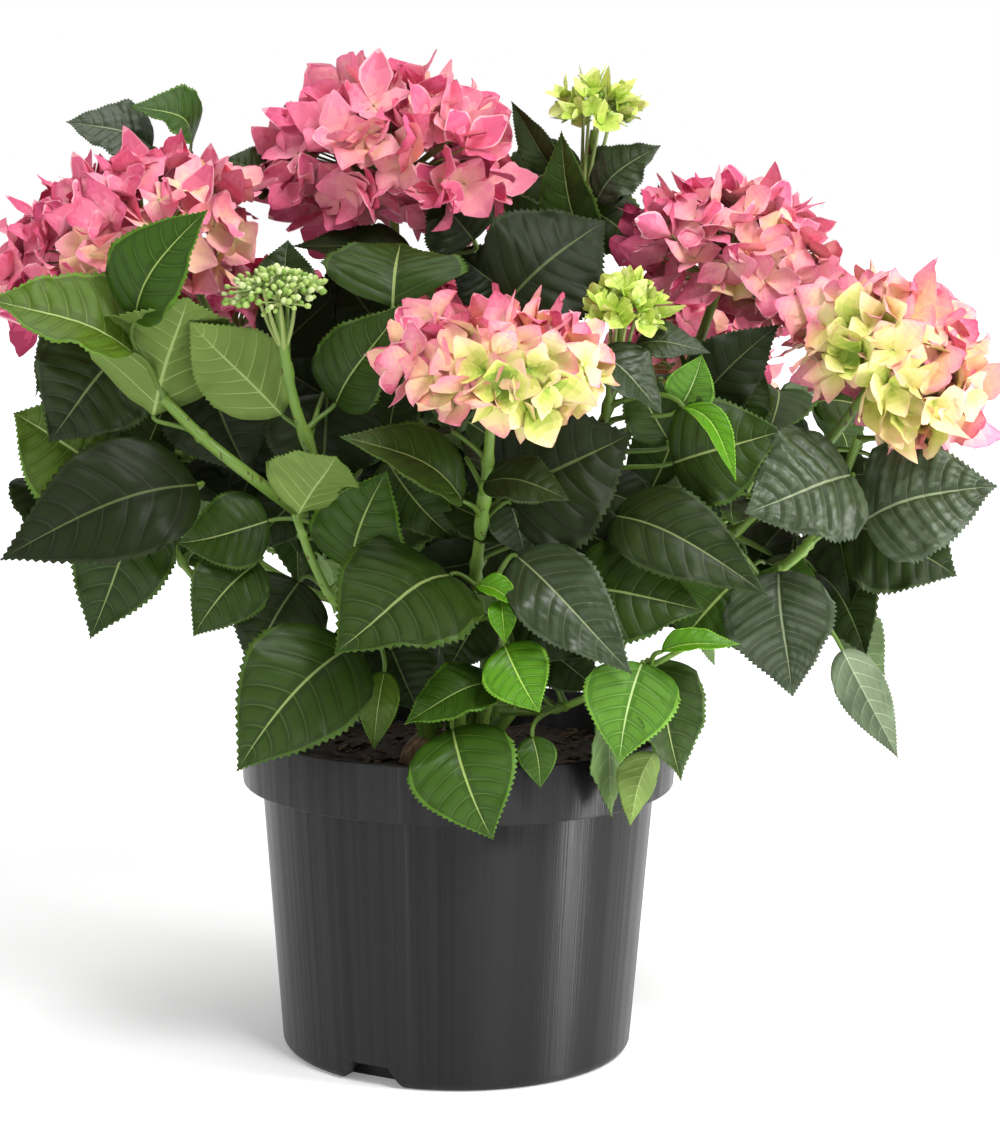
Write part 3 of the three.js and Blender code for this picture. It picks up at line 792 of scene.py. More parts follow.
class Thicket:
    """All the leaves so far. Older ones are kept in one tree, so that a ray is tried only once."""

    def __init__(self, shapes):
        self.shapes, self.settled = [], 0
        self.lows, self.highs = np.zeros((0, 3)), np.zeros((0, 3))
        for shape in shapes:
            self.add(shape)
        self.settle()

    def add(self, shape):
        self.shapes.append(shape)
        self.lows = np.vstack([self.lows, shape.low])
        self.highs = np.vstack([self.highs, shape.high])
        if len(self.shapes) - self.settled > SETTLE_AFTER:
            self.settle()

    def settle(self):
        starts = np.cumsum([0] + [len(shape.corners) for shape in self.shapes[:-1]])
        faces = [(face + start).tolist()
                 for shape, start in zip(self.shapes, starts) for face in shape.faces]
        corners = np.concatenate([shape.corners for shape in self.shapes])
        self.tree = BVHTree.FromPolygons(corners.tolist(), faces)
        self.settled = len(self.shapes)

    def blocks(self, start, ray, farthest):
        """Whether a leaf lies on the ray, no farther off than the given distance."""
        start, ray = Vector(start), Vector(ray)
        trees = [self.tree] + [shape.tree for shape in self.shapes[self.settled:]]
        return any(tree.ray_cast(start, ray, farthest)[0] is not None for tree in trees)

    def crowds(self, shape, crowding):
        """Whether some leaf has more crossings with the shape than are allowed."""
        near = np.flatnonzero(((self.lows < shape.high) & (self.highs > shape.low)).all(axis=1))
        return any(len(shape.tree.overlap(self.shapes[number].tree)) > crowding for number in near)


thicket = Thicket(leading_shapes)
front_heads = Thicket([shape for shape in head_shapes if shape.low[1] < FRONT_HALF])
all_heads = Thicket(head_shapes)
shown = Thicket(leading_shapes + front_heads.shapes)


def hides_something(points):
    """Whether a leading leaf or a flower head lies behind any of the points, seen from the front."""
    return any(shown.blocks(point, unit(point - FRONT_EYE), LOOK_BEHIND) for point in points)


# The canes at the front stay in sight where no leading leaf or flower covers them.
BARE_CANES = ("cane_front", "shoot_left", "shoot_low_left", "shoot_right")
SIGHT_LINES = []
for place in np.concatenate([limbs[name][0][::2] for name in BARE_CANES]):
    ray, distance = unit(place - FRONT_EYE), float(np.linalg.norm(place - FRONT_EYE)) - CANE_MARGIN
    if not shown.blocks(FRONT_EYE, ray, distance):
        SIGHT_LINES.append((Vector(ray), distance))
print("lines of sight to the front canes:", len(SIGHT_LINES))


def hides_cane(shape):
    """Whether the shape lies on a line of sight to a front cane."""
    start = Vector(FRONT_EYE)
    return any(shape.tree.ray_cast(start, ray, distance)[0] is not None for ray, distance in SIGHT_LINES)


# %% [markdown]
# ## Growing leaf by leaf
# Each try takes a point on the crown's outside, goes a little way in, and picks a heading away
# from the nearest limb, a face turned to the eye and up to the light, a length and a colour. If
# every test is passed the leaf grows, and its stalk with it. If not, the next try differs by
# chance, and after a few tries the place is given up. The shade behind the front leaves is filled
# first, with the darkest colours, then the sides and the back, then the top.

# %% Growing one leaf where there is room
LONGEST_STALK = 85 * MM
SMALLER = 0.72
inner_leaves = [Heap("inner_leaves_" + side, leaf_materials) for side in ("left", "right")]
outer_leaves = [Heap("outer_leaves_" + side, leaf_materials) for side in ("left", "right")]


def try_leaf(heaps, middle, heading, facing, length, family, crowding):
    """Grows one leaf round its middle if there is room for it, or a smaller one if need be."""
    for size in (length, SMALLER * length):
        base = middle - 0.45 * size * heading
        width = size * chance.uniform(0.6, 0.72)
        bend = {
            "fold": chance.uniform(6, 26), "arch": chance.uniform(0.05, 0.16),
            "twist": chance.uniform(-24, 24), "sway": chance.uniform(-0.07, 0.07),
            "wave": chance.uniform(0.02, 0.05), "phase": chance.uniform(0, 6),
        }
        place = (base, base + size * heading, width, facing)
        rough = bend_leaf(rough_sheet, *place, **bend)
        sample = rough[ROUGH_CORNERS]
        if in_pot(sample) or in_opening(sample) or inside_head(sample) or not inside_plant(sample):
            continue
        stalk = stalk_to(base, heading)[0]
        if in_opening(stalk) or np.linalg.norm(stalk[0] - base) > LONGEST_STALK:
            continue
        if hides_something(sample[::3]):
            continue
        shape = Shape(rough, ROUGH_FACES)
        if thicket.crowds(shape, crowding) or hides_cane(shape):
            continue
        thicket.add(shape)
        corners = bend_leaf(plain_sheet, *place, **bend)
        heap = heaps[0] if middle[0] < 0 else heaps[1]
        heap.put(corners, plain_sheet.faces, plain_sheet.part + FAMILY[family], plain_sheet.wall)
        add_stalk(base, heading, STALK_OF.get(family, LEAF_STALK))
        return True
    return False


# %% Filling the crown from one side
TRIES = 6
LOOK_FROM = 60 * MM  # in front of the crown's outside
LOOK_DEPTH = 150 * MM
FACING_EYE = 0.15
TURNED_UP = np.array([0, 0, 0.5])


def crown_points(eye):
    """Points on the outside of the masses that face the eye, in a chance order, with their normals."""
    points = []
    for name in masses:
        for corner in frame["nodes"][name].data.vertices:
            place, normal = np.array(corner.co), np.array(corner.normal)
            if normal @ unit(eye - place) > FACING_EYE:
                points.append((place, normal))
    return [points[number] for number in chance.permutation(len(points))]


def fill_from(eye, heaps, flowers, depths, lengths, families, crowding=2, spacing=14):
    """Grows a leaf wherever a line of sight from the eye enters the crown and meets nothing.

    How deep a leaf lies in the crown, how long it is, and how far the next try is from a place
    where none would grow, are in mm. crowding is how many faces may touch a neighbour's.
    """
    grown = 0
    given_up = [np.zeros(3)]
    for place, normal in crown_points(eye):
        if np.linalg.norm(np.array(given_up) - place, axis=1).min() < spacing * MM:
            continue
        ray = unit(place - eye)
        start = place - LOOK_FROM * ray
        if thicket.blocks(start, ray, LOOK_DEPTH) or flowers.blocks(start, ray, LOOK_DEPTH):
            continue
        for _ in range(TRIES):
            middle = place + ray * chance.uniform(*depths) * MM
            facing = unit(-ray + TURNED_UP + chance.normal(0, 0.35, 3))
            limb = LIMB_POINTS[np.argmin(np.linalg.norm(LIMB_POINTS - middle, axis=1))]
            heading = unit(np.array([normal[0], normal[1], -0.35]) + chance.normal(0, 0.6, 3))
            heading = heading + 0.8 * unit(middle - limb)
            heading = unit(heading - 0.9 * (heading @ facing) * facing)
            length = chance.uniform(*lengths) * MM
            if try_leaf(heaps, middle, heading, facing, length, chance.choice(families), crowding):
                grown += 1
                break
        else:
            given_up.append(place)
    return grown


IN_THE_SHADE = ["black", "black", "dark", "dark", "deep"]
IN_THE_LIGHT = ["dark", "dark", "deep", "deep", "slate", "fresh"]
WALK_RADIUS = 1.6
WALK_HEIGHT = 0.6
ABOVE = np.array([0, 0.1, 2.0])
count = fill_from(FRONT_EYE, inner_leaves, front_heads, (15, 75), (62, 88), IN_THE_SHADE,
                  crowding=4, spacing=10)
print("leaves in the shade behind:", count)
for azimuth in (90, 180, 270, 135, 225, 45, 315):
    turn = math.radians(azimuth)
    eye = np.array([WALK_RADIUS * math.sin(turn), -WALK_RADIUS * math.cos(turn), WALK_HEIGHT])
    count = fill_from(eye, outer_leaves, all_heads, (2, 30), (66, 98), IN_THE_LIGHT)
    print(f"leaves grown from {azimuth} degrees:", count)
count = fill_from(ABOVE, outer_leaves, all_heads, (5, 35), (66, 90), IN_THE_LIGHT)
print("leaves grown from above:", count)

# %% Joining the leaves
def join_both_sides(heaps, stands_for):
    """Joins the left and the right heap. Each stands for the masses on its own side."""
    left = [name for name in stands_for if middle_and_reach(name)[0][0] < 0]
    right = [name for name in stands_for if name not in left]
    heaps[0].join("leaf", *left)
    heaps[1].join("leaf", *right)


front_masses = [name for name in masses if middle_and_reach(name)[0][1] < 0]
back_masses = [name for name in masses if name not in front_masses]
join_both_sides(leading_leaves, front_masses)
join_both_sides(inner_leaves, [])
join_both_sides(outer_leaves, back_masses)

# %% [markdown]
# ## The canes
# Young canes are green and smooth, with small dark pores, and they swell where a pair of leaves
# stands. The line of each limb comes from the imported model, so only its thickness is worked here:
# a swelling wherever a leaf stalk starts.

# %% Canes and leaf stalks
def cane_finish():
    """Fresh bark over green wood: a satin skin with dark pores a millimetre or two long."""
    material = finish_of("young_cane_bark", "#5f8230", 0.42, IOR=1.45)
    tree = material.node_tree
    shader = tree.nodes["Principled BSDF"]
    place = add(tree, "TexCoord").outputs["Object"]
    stretched = add(tree, "Mapping", {"Vector": place, "Scale": (1, 1, 0.35)})
    pores = add(tree, "TexNoise", {"Vector": stretched.outputs["Vector"], "Scale": 420, "Detail": 1})
    spots = add(tree, "ValToRGB", {"Fac": pores.outputs["Fac"]})
    spots.color_ramp.elements[0].position = 0.66
    spots.color_ramp.elements[1].position = 0.7
    patches = add(tree, "TexNoise", {"Vector": place, "Scale": 30, "Detail": 3})
    blend = add(tree, "Mix", {"Factor": patches.outputs["Fac"]}, data_type="RGBA")
    blend.inputs["A"].default_value = linear("#4a6c22")
    blend.inputs["B"].default_value = linear("#7c9c40")
    bark = add(tree, "Mix", {"Factor": spots.outputs["Color"]}, data_type="RGBA")
    tree.links.new(blend.outputs["Result"], bark.inputs["A"])
    bark.inputs["B"].default_value = linear("#4a3a22")
    tree.links.new(bark.outputs["Result"], shader.inputs["Base Color"])
    return material


NODE_SWELLING = 0.9 * MM
NODE_REACH = 1.2  # line steps


def thick_cane(number, name):
    """A limb's line and thickness, swollen wherever a leaf stalk starts."""
    line, thick = limbs[name]
    thick = thick.copy()
    first = number * LINE_STEPS
    for foot in stalk_feet:
        if first <= foot < first + LINE_STEPS:
            away = (np.arange(LINE_STEPS) - (foot - first)) / NODE_REACH
            thick = np.maximum(thick, (LIMB_RADII[foot] + NODE_SWELLING) * np.exp(-away**2))
    return line, thick, 0


canes = [thick_cane(number, name) for number, name in enumerate(limbs)]
grow_stalks("canes", canes, 3, [cane_finish()], "cane", *[name for name in limbs if name not in SHOOTS])
stalk_materials = [
    finish_of("leaf_stalk", "#567228", 0.42, IOR=1.45),
    finish_of("young_leaf_stalk", "#87a843", 0.42, IOR=1.45),
    # The darkest stalk colour is painted shade, for the stalks of black and dark leaves.
    finish_of("shade_darkened_leaf_stalk", "#35471c", 0.42, IOR=1.45),
]
grow_stalks("leaf_stalks", leaf_stalks, 1, stalk_materials, "cane")

# %% [markdown]
# ## Sepals and florets
# A mophead is a dome of florets, and each floret is four broad pointed sepals round a centre. The
# sepals open lime green, turn cream, and colour up from their tips inwards, so a young floret is
# green in the middle with pink tips and an old one is rose all over. `RIPENING` is that range as
# plain colours, from green to claret. A sepal is a small grid, and each of its faces takes the
# colour for how ripe it is there: the floret's own age, more at the tip, less at the claw.
# The flowers draw from a seed of their own, so they stay as they are when a leaf changes.

# %% Sepal shades
chance = np.random.default_rng(23)
RIPENING = (
    "#7f9f38", "#9db54a", "#b9c75c", "#cdd070", "#dbd884", "#e6dc94", "#ecdaa2", "#f0d0a6", "#f1c2a4",
    "#f0b5a6", "#efa6a8", "#ec98a4", "#e888a0", "#e27693", "#da6588", "#d0557c", "#c0456d", "#a63458",
)
# The paler rims are partly the sepal's own paler edge and partly painted sheen along it.
PALE_SHEEN_RIMS = ("#f0b2bb", "#e796a8")
sepal_materials = [
    finish_of(f"sepal_{number:02d}", colour, 0.5, IOR=1.4, Specular_IOR_Level=0.3)
    for number, colour in enumerate(RIPENING + PALE_SHEEN_RIMS)
]
CUP_GREENS = ("#6c9426", "#90b238", "#b0c952", "#c9d96e", "#dde592")
cup_materials = [
    finish_of(f"cup_{number}", colour, 0.5, IOR=1.4, Specular_IOR_Level=0.3)
    for number, colour in enumerate(CUP_GREENS)
]

# %% Sepal sheet
SEPAL_ROWS = np.array([0.03, 0.12, 0.25, 0.4, 0.55, 0.7, 0.83, 0.93, 1.0])
SEPAL_COLUMNS = np.array([-1, -0.88, -0.58, -0.28, 0, 0.28, 0.58, 0.88, 1])


def sepal_sheet():
    """One sepal in the flat: its corners along and across, its faces, and where each face lies."""
    bm = bmesh.new()
    rows, columns = len(SEPAL_ROWS) - 1, len(SEPAL_COLUMNS) - 1
    bmesh.ops.create_grid(bm, x_segments=rows, y_segments=columns, size=1.0)
    corners, faces = arrays_of(bm)
    along = SEPAL_ROWS[np.rint((corners[:, 0] + 1) / 2 * rows).astype(int)]
    across = SEPAL_COLUMNS[np.rint((corners[:, 1] + 1) / 2 * columns).astype(int)]
    return along, across, faces, along[faces].mean(axis=1), np.abs(across[faces].mean(axis=1))


def diamond(along):
    """Half the width of a sepal: nearly straight sides from the widest place to claw and tip."""
    widest = 0.47
    near = np.clip(along / widest, 0, 1)**0.8
    far = np.clip((1 - along) / (1 - widest), 0.004, 1)**0.72
    return np.minimum(near, 1) * np.minimum(far, 1)


sepal_u, sepal_v, sepal_faces, face_along, face_across = sepal_sheet()
sepal_width = diamond(sepal_u)
print("sepal:", 2 * len(sepal_faces), "triangles")


# %% Florets
PINK_AGE = 9.5  # the ripeness from which a sepal may have a paler rim
RIM_SHARE = 0.55  # of the pink sepals
SEPAL_STEP = 0.4 * MM  # how far every second sepal lies above its neighbours


def round_bead(fineness):
    """A ball of small triangles, with a radius of one."""
    bm = bmesh.new()
    bmesh.ops.create_icosphere(bm, subdivisions=fineness, radius=1.0)
    return arrays_of(bm)


def sepal(length, cup, crumple):
    """A cupped, creased and waved sepal that starts at the origin and points along +X."""
    u, v, edge = sepal_u, sepal_v, np.abs(sepal_v)
    y = 0.5 * chance.uniform(0.92, 1.16) * length * v * sepal_width
    lift = cup * length * u**1.5 + chance.uniform(-0.15, 0.7) * np.abs(y)
    lift -= chance.uniform(-0.25, 0.45) * length * u**4
    lift += chance.uniform(-0.1, 0.08) * length * edge**3 * sepal_width
    wave = np.sin(2 * math.pi * (1.3 * u + 0.3 * np.sign(v)) + chance.uniform(0, 6))
    wave += 0.6 * np.sin(2 * math.pi * (2.9 * u + 0.2 * np.sign(v)) + chance.uniform(0, 6))
    lift += crumple * chance.uniform(0.02, 0.08) * length * edge**2 * wave * sepal_width**0.5
    lift += crumple * chance.normal(0, 0.008, len(u)) * length
    turn = chance.normal(0, 0.55) * u
    y, lift = y * np.cos(turn) - lift * np.sin(turn) * 0.3, lift + y * np.sin(turn)
    return np.c_[u * length * math.cos(0.5 * cup), y + chance.normal(0, 0.1) * length * u**2, lift]


def ripe_colours(ripe, spread):
    """The colour number of each face of a sepal, and on an old one often a paler rim, which is partly
    painted sheen.
    """
    tone = ripe + spread * (face_along**1.6 - 0.35) + 0.3 * spread * face_across**2
    tone -= 3.0 * np.exp(-face_along / 0.12)
    tone += chance.normal(0, 0.25, len(tone))
    numbers = np.clip(np.rint(tone), 0, len(RIPENING) - 1).astype(int)
    # On pink sepals the rim is paler: partly the sepal's own edge, partly painted sheen.
    if ripe > PINK_AGE and chance.uniform() < RIM_SHARE:
        rim = (face_across > 0.9) | (face_along > 0.95)
        numbers = np.where(rim, len(RIPENING) + int(chance.integers(0, 2)), numbers)
    return numbers


def cup_colours():
    """The colour number of each face of a lime cup's sepal: green at the claw, paler at the tip."""
    tone = chance.uniform(0.6, 2.4) + 2.2 * face_along + chance.normal(0, 0.25, len(face_along))
    return np.clip(np.rint(tone), 0, len(CUP_GREENS) - 1).astype(int)


def across_frame(normal, spin):
    """Three square axes with the third along the normal."""
    helper = np.array([1.0, 0, 0]) if abs(normal[0]) < 0.8 else np.array([0, 1.0, 0])
    side = unit(np.cross(normal, helper))
    other = np.cross(normal, side)
    first = math.cos(spin) * side + math.sin(spin) * other
    return np.array([first, np.cross(normal, first), normal])


def put_floret(heap, place, normal, length, openness, colours, crumple=1.0):
    """Four sepals round a point. openness is 0 for a closed cup and 1 for a flat cross."""
    axes = across_frame(normal, chance.uniform(0, 2 * math.pi))
    for quarter in range(4):
        turn = quarter * math.pi / 2 + chance.normal(0, 0.16)
        cup = (1 - openness) * 1.1 + crumple * chance.uniform(-0.35, 0.35)
        shape = sepal(length * chance.uniform(0.8, 1.15), cup, crumple)
        shape[:, 2] += SEPAL_STEP * (quarter % 2)
        c, s = math.cos(turn), math.sin(turn)
        shape[:, :2] = shape[:, :2] @ np.array([[c, s], [-s, c]])
        heap.put(place + shape @ axes, sepal_faces, colours())


# %% [markdown]
# ## Setting the florets on a head
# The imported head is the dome's outside. Florets are spread over it at even turns of the golden
# angle, like seeds in a sunflower, set back so that their tips reach the dome, and tipped at random
# so that they jostle. How ripe a floret is depends on the side of the head it is on.

# %% Heads
GOLDEN_TURN = math.pi * (3 - math.sqrt(5))


def dome_directions(count, lowest):
    """Even directions round +Z, from straight up to those whose height is as low as lowest."""
    height = 1 - (1 - lowest) * (np.arange(count) + 0.5) / count
    turn = np.arange(count) * GOLDEN_TURN
    flat = np.sqrt(1 - height**2)
    return np.c_[flat * np.cos(turn), flat * np.sin(turn), height]


def dome(name):
    """A head's middle, its axes and its search tree. It looks along the last steps of its cane."""
    low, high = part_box("head_" + name)
    line, _ = limbs["cane_" + name]
    axis = unit(line[-1] - line[-6])
    centre = line[-1] + axis * 0.14 * (high[2] - low[2])
    tree = head_shapes[heads.index("head_" + name)].tree
    return centre, across_frame(axis, 0.0), tree


def reach_along(tree, centre, direction):
    """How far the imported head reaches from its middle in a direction, or None where it is open."""
    hit = tree.ray_cast(Vector(centre), Vector(direction))
    return hit[3] if hit[0] is not None else None


# For each head: florets, sepal length in mm, ripeness of the young side and how much riper its tips
# are, the same for the old side, which way the young side looks, the cosine of the angle where it
# ends, and how the dome has settled: its height as a share, and how far it slid right and down in mm.
HEAD_PLANS = {
    "left": (100, 17.5, (9, 3.5), (13, 3), (0.75, -0.55, -0.3), 0.3, (0.94, -1, 7)),
    "top": (98, 19, (11.5, 2.5), (13.3, 2), (0.5, -0.3, 0.6), 0.3, (0.98, -2, 5)),
    "front": (60, 17, (3.4, 7), (9.5, 5), (0.35, -0.4, -0.75), 0.3, (0.68, 0, -1)),
    "right_top": (76, 17.5, (9.5, 3.5), (12.5, 3), (0.1, -1, 0.05), 0.4, (0.95, 2, 4)),
    "right": (76, 17.5, (3.4, 5), (9, 5.5), (0, -0.9, -0.2), 0.62, (1.0, 0, 1)),
    "back": (62, 18, (8, 4), (13, 2.5), (0, 0.3, -1), 0.3, (0.95, 0, 4)),
    "back_right": (56, 17, (5, 5), (11, 4), (0, 0.6, -0.6), 0.3, (0.95, 0, 4)),
    "back_left": (62, 18, (7, 4), (12.5, 3), (-0.2, 0.6, -0.6), 0.3, (0.95, 0, 4)),
}
PETAL_SLOT = {
    "left": "petals_pink", "top": "petals_rose", "front": "petals_blush",
    "right_top": "petals_pink", "right": "petals_cream",
    "back": "petals_rose", "back_right": "petals_blush", "back_left": "petals_pink",
}
HUB_DEPTH = 12  # mm below a head's middle, where its flower stalks start
LOWEST_FLORET = -0.5  # how far below level a floret may look
FLORET_STALK_RADII = np.array([1.3, 1.1, 0.8, 0.6, 0.6]) * MM
flower_stalks = []
bead_corners, bead_faces = round_bead(1)


def grow_head(name):
    """Sets the florets of one head round its dome, each on a stalk from a hub inside."""
    count, length, young, old, young_side, young_end, (squash, slid, sunk) = HEAD_PLANS[name]
    centre, axes, tree = dome(name)
    heap = Heap("florets_" + name, sepal_materials)
    young_side = unit(young_side)
    hub = centre - axes[2] * HUB_DEPTH * MM
    for direction in dome_directions(count, LOWEST_FLORET):
        direction = unit(direction @ axes + chance.normal(0, 0.06, 3))
        reach = reach_along(tree, centre, direction)
        if reach is None:
            continue
        low = max(0.0, -float(direction[2]))
        size = length * MM * chance.uniform(0.88, 1.15) * (1 + 0.25 * low)
        openness = chance.uniform(0.15, 0.9)
        depth = reach - size * (0.62 - 0.2 * openness) - chance.uniform(-1, 6) * MM + 12 * MM * low
        place = centre + direction * depth
        place[2] = centre[2] + squash * (place[2] - centre[2])
        place += np.array([slid, 0, -sunk]) * MM
        past_end = direction @ young_side + chance.normal(0, 0.25) - young_end
        share = 1 / (1 + math.exp(-past_end / 0.15))
        ripe = share * young[0] + (1 - share) * old[0] + chance.normal(0, 1.1)
        spread = share * young[1] + (1 - share) * old[1]
        normal = unit(direction + 0.1 * axes[2] + chance.normal(0, 0.45, 3))
        put_floret(heap, place, normal, size, openness,
                   lambda: ripe_colours(ripe + chance.normal(0, 0.8), spread))
        flower_stalks.append((smooth_line([hub, (hub + place) / 2 - direction * 2 * MM, place], 5),
                              FLORET_STALK_RADII, 0))
    heap.join(PETAL_SLOT[name], "head_" + name)


for name in HEAD_PLANS:
    grow_head(name)

# %% [markdown]
# ## Buds
# Three heads are still green. One is a flat plate of closed beads. The other two have half opened:
# chunky lime cups of four sepals, with closed beads between them. Their stalks fork: a few thick
# arms leave the cane, and each carries its own cluster.

# %% Buds
bud_materials = [
    finish_of("bud_bead", "#a3bd66", 0.45, IOR=1.42),
    finish_of("bud_bead_pale", "#c9d898", 0.45, IOR=1.42),
    finish_of("bud_bead_green", "#7c9f42", 0.45, IOR=1.42),
]


def put_bead(heap, place, radius, direction):
    """One closed bud, a little longer than it is wide, in one of the three greens."""
    axes = across_frame(direction, 0.0)
    corners = bead_corners * np.array([0.85, 0.85, 1.15]) * radius
    kind = chance.choice(3, p=[0.45, 0.35, 0.2])
    heap.put(place + corners @ axes, bead_faces, np.full(len(bead_faces), kind))


BEAD_STALK_RADII = np.array([0.8, 0.6, 0.5, 0.5, 0.6]) * MM
ARM_STEPS = 9


class Forks:
    """The arms of an unopened head. Each place on it hangs from the nearest arm.

    The arms leave the cane so many line steps below its end, as foot says. lowest is the cosine of
    the widest arm's lean, and spread is how far out the arms reach, as a share of the head.
    """

    def __init__(self, name, arms, foot, lowest=0.25, spread=0.42):
        self.spread = spread
        self.centre, self.axes, self.tree = dome(name)
        self.base = limbs["cane_" + name][0][-foot]
        self.arms = [unit(direction @ self.axes) for direction in dome_directions(arms, lowest)]
        for arm in self.arms:
            joint = self.joint(arm)
            middle = 0.5 * (self.base + joint) + (joint - self.base) @ self.axes[2] * self.axes[2] * -0.12
            line = smooth_line([self.base, middle, joint], ARM_STEPS)
            flower_stalks.append((line, np.linspace(1.4, 0.8, ARM_STEPS) * MM, 1))

    def joint(self, arm):
        """Where an arm ends, and the fine stalks of its cluster start."""
        return self.centre + arm * reach_along(self.tree, self.centre, arm) * self.spread

    def places(self, count, lowest, depths, jitter):
        """Places on the head with their directions, each with a fine stalk from its arm."""
        for direction in dome_directions(count, lowest):
            direction = unit(direction @ self.axes + chance.normal(0, jitter, 3))
            reach = reach_along(self.tree, self.centre, direction)
            if reach is None:
                continue
            place = self.centre + direction * reach * chance.uniform(*depths)
            joint = self.joint(max(self.arms, key=lambda arm: float(arm @ direction)))
            line = smooth_line([joint, (joint + place) / 2 - direction * 1 * MM, place], 5)
            flower_stalks.append((line, BEAD_STALK_RADII, 1))
            yield place, direction


def bead_plate(name, count):
    """A head of closed buds, at nearly one height over wide arms."""
    heap = Heap("beads_" + name, bud_materials)
    for place, direction in Forks(name, 5, 5, 0.05, 0.6).places(count, 0.0, (0.72, 1.0), 0.08):
        put_bead(heap, place, chance.uniform(1.3, 2.3) * MM, direction)
    heap.join("buds", "head_" + name)


def lime_cups(name, cups, beads):
    """A head of half-open lime cups with closed buds between them."""
    heap = Heap("cups_" + name, cup_materials)
    bead_heap = Heap("beads_" + name, bud_materials)
    forks = Forks(name, 5, 7, 0.3)
    for place, direction in forks.places(cups, -0.15, (0.45, 0.76), 0.14):
        normal = unit(direction + 0.6 * forks.axes[2] + chance.normal(0, 0.2, 3))
        size = chance.uniform(8, 11.5) * MM
        put_floret(heap, place, normal, size, chance.uniform(-0.1, 0.35), cup_colours, 0.5)
    for place, direction in forks.places(beads, -0.1, (0.5, 0.8), 0.1):
        put_bead(bead_heap, place, chance.uniform(1.2, 2.2) * MM, direction)
    heap.join("buds", "head_" + name)
    bead_heap.join("buds")


bead_plate("bud_left", 200)
lime_cups("bud_centre", 24, 16)
lime_cups("bud_top", 26, 16)
flower_stalk_materials = [
    finish_of("flower_stalk", "#93a560", 0.5, IOR=1.42),
    finish_of("green_flower_stalk", "#6f8f3c", 0.5, IOR=1.42),
]
grow_stalks("flower_stalks", flower_stalks, 1, flower_stalk_materials, "cane")

# %% [markdown]
# ## The pot
# A nursery pot is injection moulded in polypropylene: a body with a slight taper, a deep collar
# that gives the rim its strength, a rounded foot and drainage arches cut up from below. It is a
# turned shape, so its half outline is spun round the axis, and a boolean cuts the three arches.

# %% Pot outline
WALL = 2.2 * MM
RIM_RADIUS = 115 * MM
COLLAR_DEPTH = 30 * MM
COLLAR_DRAFT = 1.6 * MM
BODY_TOP_RADIUS = 103 * MM
FOOT_RADIUS = 92.5 * MM
FOOT_ROUNDING = 5 * MM
INNER_FLOOR = 13 * MM
ARCH_COUNT = 3
ARCH_FIRST_ANGLE = math.radians(-118.5)
ARCH_FOOT_WIDTH = 38 * MM
ARCH_TOP_WIDTH = 21 * MM
ARCH_HEIGHT = 11 * MM
ARCH_DEPTH = 30 * MM
BELOW_FLOOR = 1 * MM
LIP_ROUNDING = 1.1 * MM
COLLAR_ROUNDING = 1.2 * MM
UNDERCUT = 2 * MM
POT_STEPS = 144


def arc(centre, radius, start, stop, steps):
    """Points (radius, height) on part of a circle, angles in degrees."""
    angles = np.radians(np.linspace(start, stop, steps))
    return [(centre[0] + radius * math.cos(a), centre[1] + radius * math.sin(a)) for a in angles]


def pot_outline():
    """Half of the pot's section, from the middle of its foot round the outside, the lip and back in."""
    collar_foot = POT_TOP - COLLAR_DEPTH
    collar_radius = RIM_RADIUS - COLLAR_DRAFT
    foot = arc((FOOT_RADIUS - FOOT_ROUNDING, FOOT_ROUNDING), FOOT_ROUNDING, -90, 0, 7)
    under_collar = [(BODY_TOP_RADIUS, collar_foot - 2 * UNDERCUT)]
    under_collar += arc((BODY_TOP_RADIUS + UNDERCUT, collar_foot - UNDERCUT), UNDERCUT, 180, 90, 4)
    collar = arc((collar_radius - COLLAR_ROUNDING, collar_foot + COLLAR_ROUNDING), COLLAR_ROUNDING,
                 -90, 0, 4)
    lip = arc((RIM_RADIUS - LIP_ROUNDING, POT_TOP - LIP_ROUNDING), LIP_ROUNDING, 0, 180, 8)
    ledge = collar_foot + WALL
    inside = [(collar_radius - WALL, ledge), (BODY_TOP_RADIUS - WALL, ledge)]
    inside += [(FOOT_RADIUS - WALL, INNER_FLOOR), (0, INNER_FLOOR)]
    return [(0, 0)] + foot + under_collar + collar + lip + inside


def spun(name, outline, steps):
    """A turned solid: the outline goes once round the upright axis."""
    bm = bmesh.new()
    corners = [bm.verts.new((radius, 0, height)) for radius, height in outline]
    edges = [bm.edges.new(pair) for pair in zip(corners, corners[1:])]
    bmesh.ops.spin(bm, geom=corners + edges, cent=(0, 0, 0), axis=(0, 0, 1), angle=2 * math.pi,
                   steps=steps, use_merge=True)
    bmesh.ops.remove_doubles(bm, verts=bm.verts[:], dist=0.02 * MM)
    bmesh.ops.recalc_face_normals(bm, faces=bm.faces[:])
    for face in bm.faces:
        face.smooth = True
    return mesh_of(name, bm)


def arch_cutter():
    """Blocks with sloping sides, standing where the arches are."""
    bm = bmesh.new()
    for number in range(ARCH_COUNT):
        block = bmesh.ops.create_cube(bm, size=1.0)["verts"]
        for corner in block:
            upper = corner.co.z > 0
            half = (ARCH_TOP_WIDTH if upper else ARCH_FOOT_WIDTH) / 2
            corner.co = (corner.co.x * ARCH_DEPTH + FOOT_RADIUS, math.copysign(half, corner.co.y),
                         ARCH_HEIGHT if upper else -BELOW_FLOOR)
        turn = Matrix.Rotation(ARCH_FIRST_ANGLE + number * math.tau / ARCH_COUNT, 3, "Z")
        bmesh.ops.rotate(bm, verts=block, cent=(0, 0, 0), matrix=turn)
    bmesh.ops.recalc_face_normals(bm, faces=bm.faces[:])
    return mesh_of("arch_cutter", bm)


